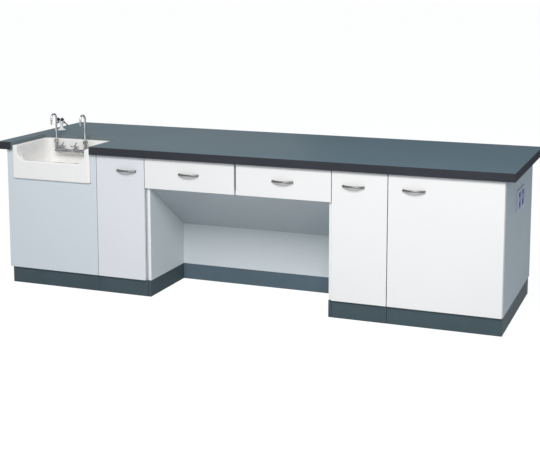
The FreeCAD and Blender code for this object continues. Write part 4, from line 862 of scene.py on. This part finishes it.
insert_low, insert_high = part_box("socket_inserts")
FIT, DEEP, OUT, CONTACT, CONTACT_ASIDE = 0.0005, 0.008, 0.02, 0.0024, 0.0095
face, recess_height, rocker_height = insert_high.x, SOCKET.z - 0.024, SOCKET.z + 0.030
WELL_WIDE, WELL_TALL, DENT = 0.0136, 0.0106, 0.0012
modules = []
for name, (low, high) in zip(("near", "far"), windows):
    middle = (low + high)/2
    module = block((insert_low.x, low + FIT, plate_low.z + RIM + FIT),
                   (face, high - FIT, plate_high.z - RIM - FIT), 0.0028, "X", 4)
    recess = turned([(-DEEP, 0.0172), (-0.0074, 0.0178), (OUT, 0.0180)],
                    (face, middle, recess_height), TO_RIGHT, sides=48)
    well = block((face - DEEP, middle - WELL_WIDE, rocker_height - WELL_TALL),
                 (face + OUT, middle + WELL_WIDE, rocker_height + WELL_TALL), 0.0012, "X", 3)
    hollowed(module, recess, well)
    for i in (-1, 0, 1):
        lift = (1 - abs(i))*2*CONTACT_ASIDE/3
        hollowed(module, turned([(-0.022, CONTACT), (OUT, CONTACT)],
                                (face, middle + i*CONTACT_ASIDE, recess_height + lift), TO_RIGHT,
                                sides=16))
    eased(module, 0.0004)
    module.data.materials.clear()
    module.data.materials.append(module_plastic)
    module.data.materials.append(recess_shade_film)
    # The floor of each round recess and its contact holes take a near-black blue, a painted shade in the
    # recess.
    for flat in module.data.polygons:
        spot = flat.center
        inside = (spot.x < face - DEEP - 0.0005
                  and math.hypot(spot.y - middle, spot.z - recess_height) < 0.0165)
        flat.material_index = int(inside)
    modules.append(module)

    rocker_low, rocker_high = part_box(f"socket_rocker_{name}")
    pivot = (rocker_low.z + rocker_high.z)/2
    key = rounded_rim(cube(rocker_low, rocker_high), lambda spot: spot.x < rocker_low.x + CLOSE, 0.0066, 6)
    opened(key)
    bpy.ops.mesh.bisect(plane_co=(rocker_high.x, middle, pivot), plane_no=(0, 0, 1))
    bpy.ops.mesh.select_mode(type="VERT")
    bpy.ops.mesh.select_all(action="DESELECT")
    net = bmesh.from_edit_mesh(key.data)
    for point in net.verts:
        point.select_set(abs(point.co.z - pivot) < 1e-5 and point.co.x > rocker_high.x - 1e-5)
    bmesh.update_edit_mesh(key.data)
    bpy.ops.transform.translate(value=(-DENT, 0, 0))
    bpy.ops.object.mode_set(mode="OBJECT")
    eased(key, 0.0006, 3, 30)
    settle(key, f"rocker_key_{name}", [rocker_plastic], f"rocker_{name}")
    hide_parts(f"socket_rocker_{name}")
settle(joined(*modules), "socket_modules", [module_plastic, recess_shade_film], "bench")
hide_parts("socket_inserts")


# ---- Bow handles
# Bent from round bar with turned feet, lacquered in a dark brushed bronze grey and screwed on through
# the fronts.
bow_metal = surface("bow_metal", (0.17, 0.165, 0.16), 0.3, metallic=1, drift=0.06, drift_size=60,
                    grain=0.12, grain_size=1500, sheen_drift=0.06, stretch=(0.06, 1, 1))
front_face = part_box("door_wide")[0].y
FEET, BOW, BOW_END, REACH, ARC = 0.118, 0.006, 0.00576, 0.0299, 0.1033
FOOT_RADIUS, FOOT_LENGTH, TO_FRONT = 0.007, 0.011, (QUARTER, 0, 0)
half_angle, end_angle = math.asin(FEET/2/ARC), math.radians(4)
for node, body in (("handle_narrow_left", "door_narrow_left_leaf"),
                   ("handle_narrow_right", "door_narrow_right_leaf"), ("handle_wide", "door_wide_leaf"),
                   ("drawer_handle_left", "drawer_left"), ("drawer_handle_right", "drawer_right")):
    low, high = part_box(node)
    middle, height = (low.x + high.x)/2, (low.z + high.z)/2
    apex = front_face - REACH + BOW
    end = Vector((middle - FEET/2, apex + ARC*(1 - math.cos(half_angle)), height))
    heading = Vector((math.cos(half_angle), -math.sin(half_angle), 0))
    tip = (end_angle, ARC, (0, 0, 1), 2)
    pieces = [swept(end, heading, BOW_END, [
        tip, (0.0001, BOW), (2*half_angle - math.radians(8.1), ARC, (0, 0, 1), 30), (0.0001, BOW_END),
        tip])]
    for across in (middle - FEET/2, middle + FEET/2):
        pieces.append(turned([(0, FOOT_RADIUS), (0.0012, FOOT_RADIUS), (0.0018, FOOT_RADIUS - 0.0004),
                              (0.0060, FOOT_RADIUS - 0.0008), (0.0100, FOOT_RADIUS - 0.0011),
                              (FOOT_LENGTH, FOOT_RADIUS - 0.0026)], (across, front_face, height),
                             TO_FRONT, sides=28))
    settle(joined(*pieces), f"{node}_bow", [bow_metal], body)
    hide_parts(node)


# ---- Drawer boxes and slides
# Boxes of pale faced board glued and dowelled round a grooved bottom, on pressed and plated side slides.
slide_zinc = surface("slide_zinc", (0.62, 0.63, 0.64), 0.32, metallic=1, drift=0.06, drift_size=25,
                     grain=0.06, grain_size=600, sheen_drift=0.08)
WALL, BOTTOM, BOTTOM_UP = 0.012, 0.008, 0.004
for side in ("left", "right"):
    low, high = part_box(f"drawer_box_{side}")
    inner = (low.x + WALL, high.x - WALL)
    box = boards(0.0007, (low, (inner[0], high.y, high.z)), ((inner[1], low.y, low.z), high),
                 ((inner[0], low.y, low.z), (inner[1], low.y + WALL, high.z)),
                 ((inner[0], high.y - WALL, low.z), (inner[1], high.y, high.z)),
                 ((inner[0], low.y + WALL, low.z + BOTTOM_UP),
                  (inner[1], high.y - WALL, low.z + BOTTOM_UP + BOTTOM)))
    settle(box, f"drawer_box_{side}_boards", [pale_film], f"drawer_{side}")
    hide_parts(f"drawer_box_{side}")
    runner = settle(eased_copy(f"drawer_slides_{side}", 0.0012), f"drawer_runners_{side}", [slide_zinc],
                    f"drawer_{side}")
    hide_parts(f"drawer_slides_{side}")
rails = settle(eased_copy("drawer_slide_rails", 0.0012), "drawer_rail_channels", [slide_zinc], "bench")
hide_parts("drawer_slide_rails")


# ---- Hinges and shelf pins
# Nickel-plated concealed hinges: a cup let into the back of the door, and an arm on a plate screwed to
# the cabinet side. Each loose shelf lies on four plated pins.
hinge_nickel = surface("hinge_nickel", (0.58, 0.57, 0.55), 0.25, metallic=1, drift=0.06, drift_size=40,
                       grain=0.05, grain_size=700, sheen_drift=0.08)
for node, body in (("hinge_cups_narrow_left", "door_narrow_left_leaf"),
                   ("hinge_cups_narrow_right", "door_narrow_right_leaf"),
                   ("hinge_cups_wide", "door_wide_leaf"), ("hinge_arms", "bench"),
                   ("shelf_pins", "bench")):
    small = settle(eased_copy(node, 0.0004), f"{node}_plated", [hinge_nickel], body)
    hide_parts(node)


# ---- Pipes and the socket box
# Half-hard copper tube, dulled by handling, runs from the tap and the turret to plates on the back
# panels; the socket box behind the end panel is white moulded plastic.
dull_copper = surface("dull_copper", (0.66, 0.37, 0.25), 0.34, metallic=1, drift=0.16, drift_size=14,
                      grain=0.06, grain_size=500, sheen_drift=0.1)
for node, finish in (("tap_supply_pipes", dull_copper), ("gas_pipe", dull_copper),
                     ("socket_box", trap_white)):
    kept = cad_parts[node].data.materials
    kept.clear()
    kept.append(finish)


# ---- Screws in the back panels
# Flat-headed plated screws hold the hardboard backs to the cabinet sides and rails.
SCREW_RADIUS, SCREW_PROUD, SCREW_SPACING, ALONG_INSET, EDGE_INSET = 0.0038, 0.0014, 0.3, 0.012, 0.009
rows = []
for middle, low, high in islands("back_panels"):
    width, tall = high.x - low.x, high.z - low.z
    count = max(2, round(width/SCREW_SPACING) + 1)
    for i in range(count):
        across = low.x + ALONG_INSET + (width - 2*ALONG_INSET)*i/(count - 1)
        rows += [(across, low.z + EDGE_INSET), (across, high.z - EDGE_INSET)]
    for i in range(1, 4):
        height = low.z + tall*i/4
        rows += [(low.x + EDGE_INSET, height), (high.x - EDGE_INSET, height)]
first = rows[0]
screw = turned([(-0.0006, SCREW_RADIUS*0.9), (0, SCREW_RADIUS), (SCREW_PROUD*0.5, SCREW_RADIUS*0.9),
                (SCREW_PROUD, SCREW_RADIUS*0.5), (SCREW_PROUD*0.6, SCREW_RADIUS*0.22)],
               (first[0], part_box("back_panels")[1].y, first[1]), TO_BACK, sides=12)
screws = copies(screw, [(across - first[0], 0, height - first[1]) for across, height in rows[1:]])
settle(screws, "back_panel_screws", [hinge_nickel], "bench")
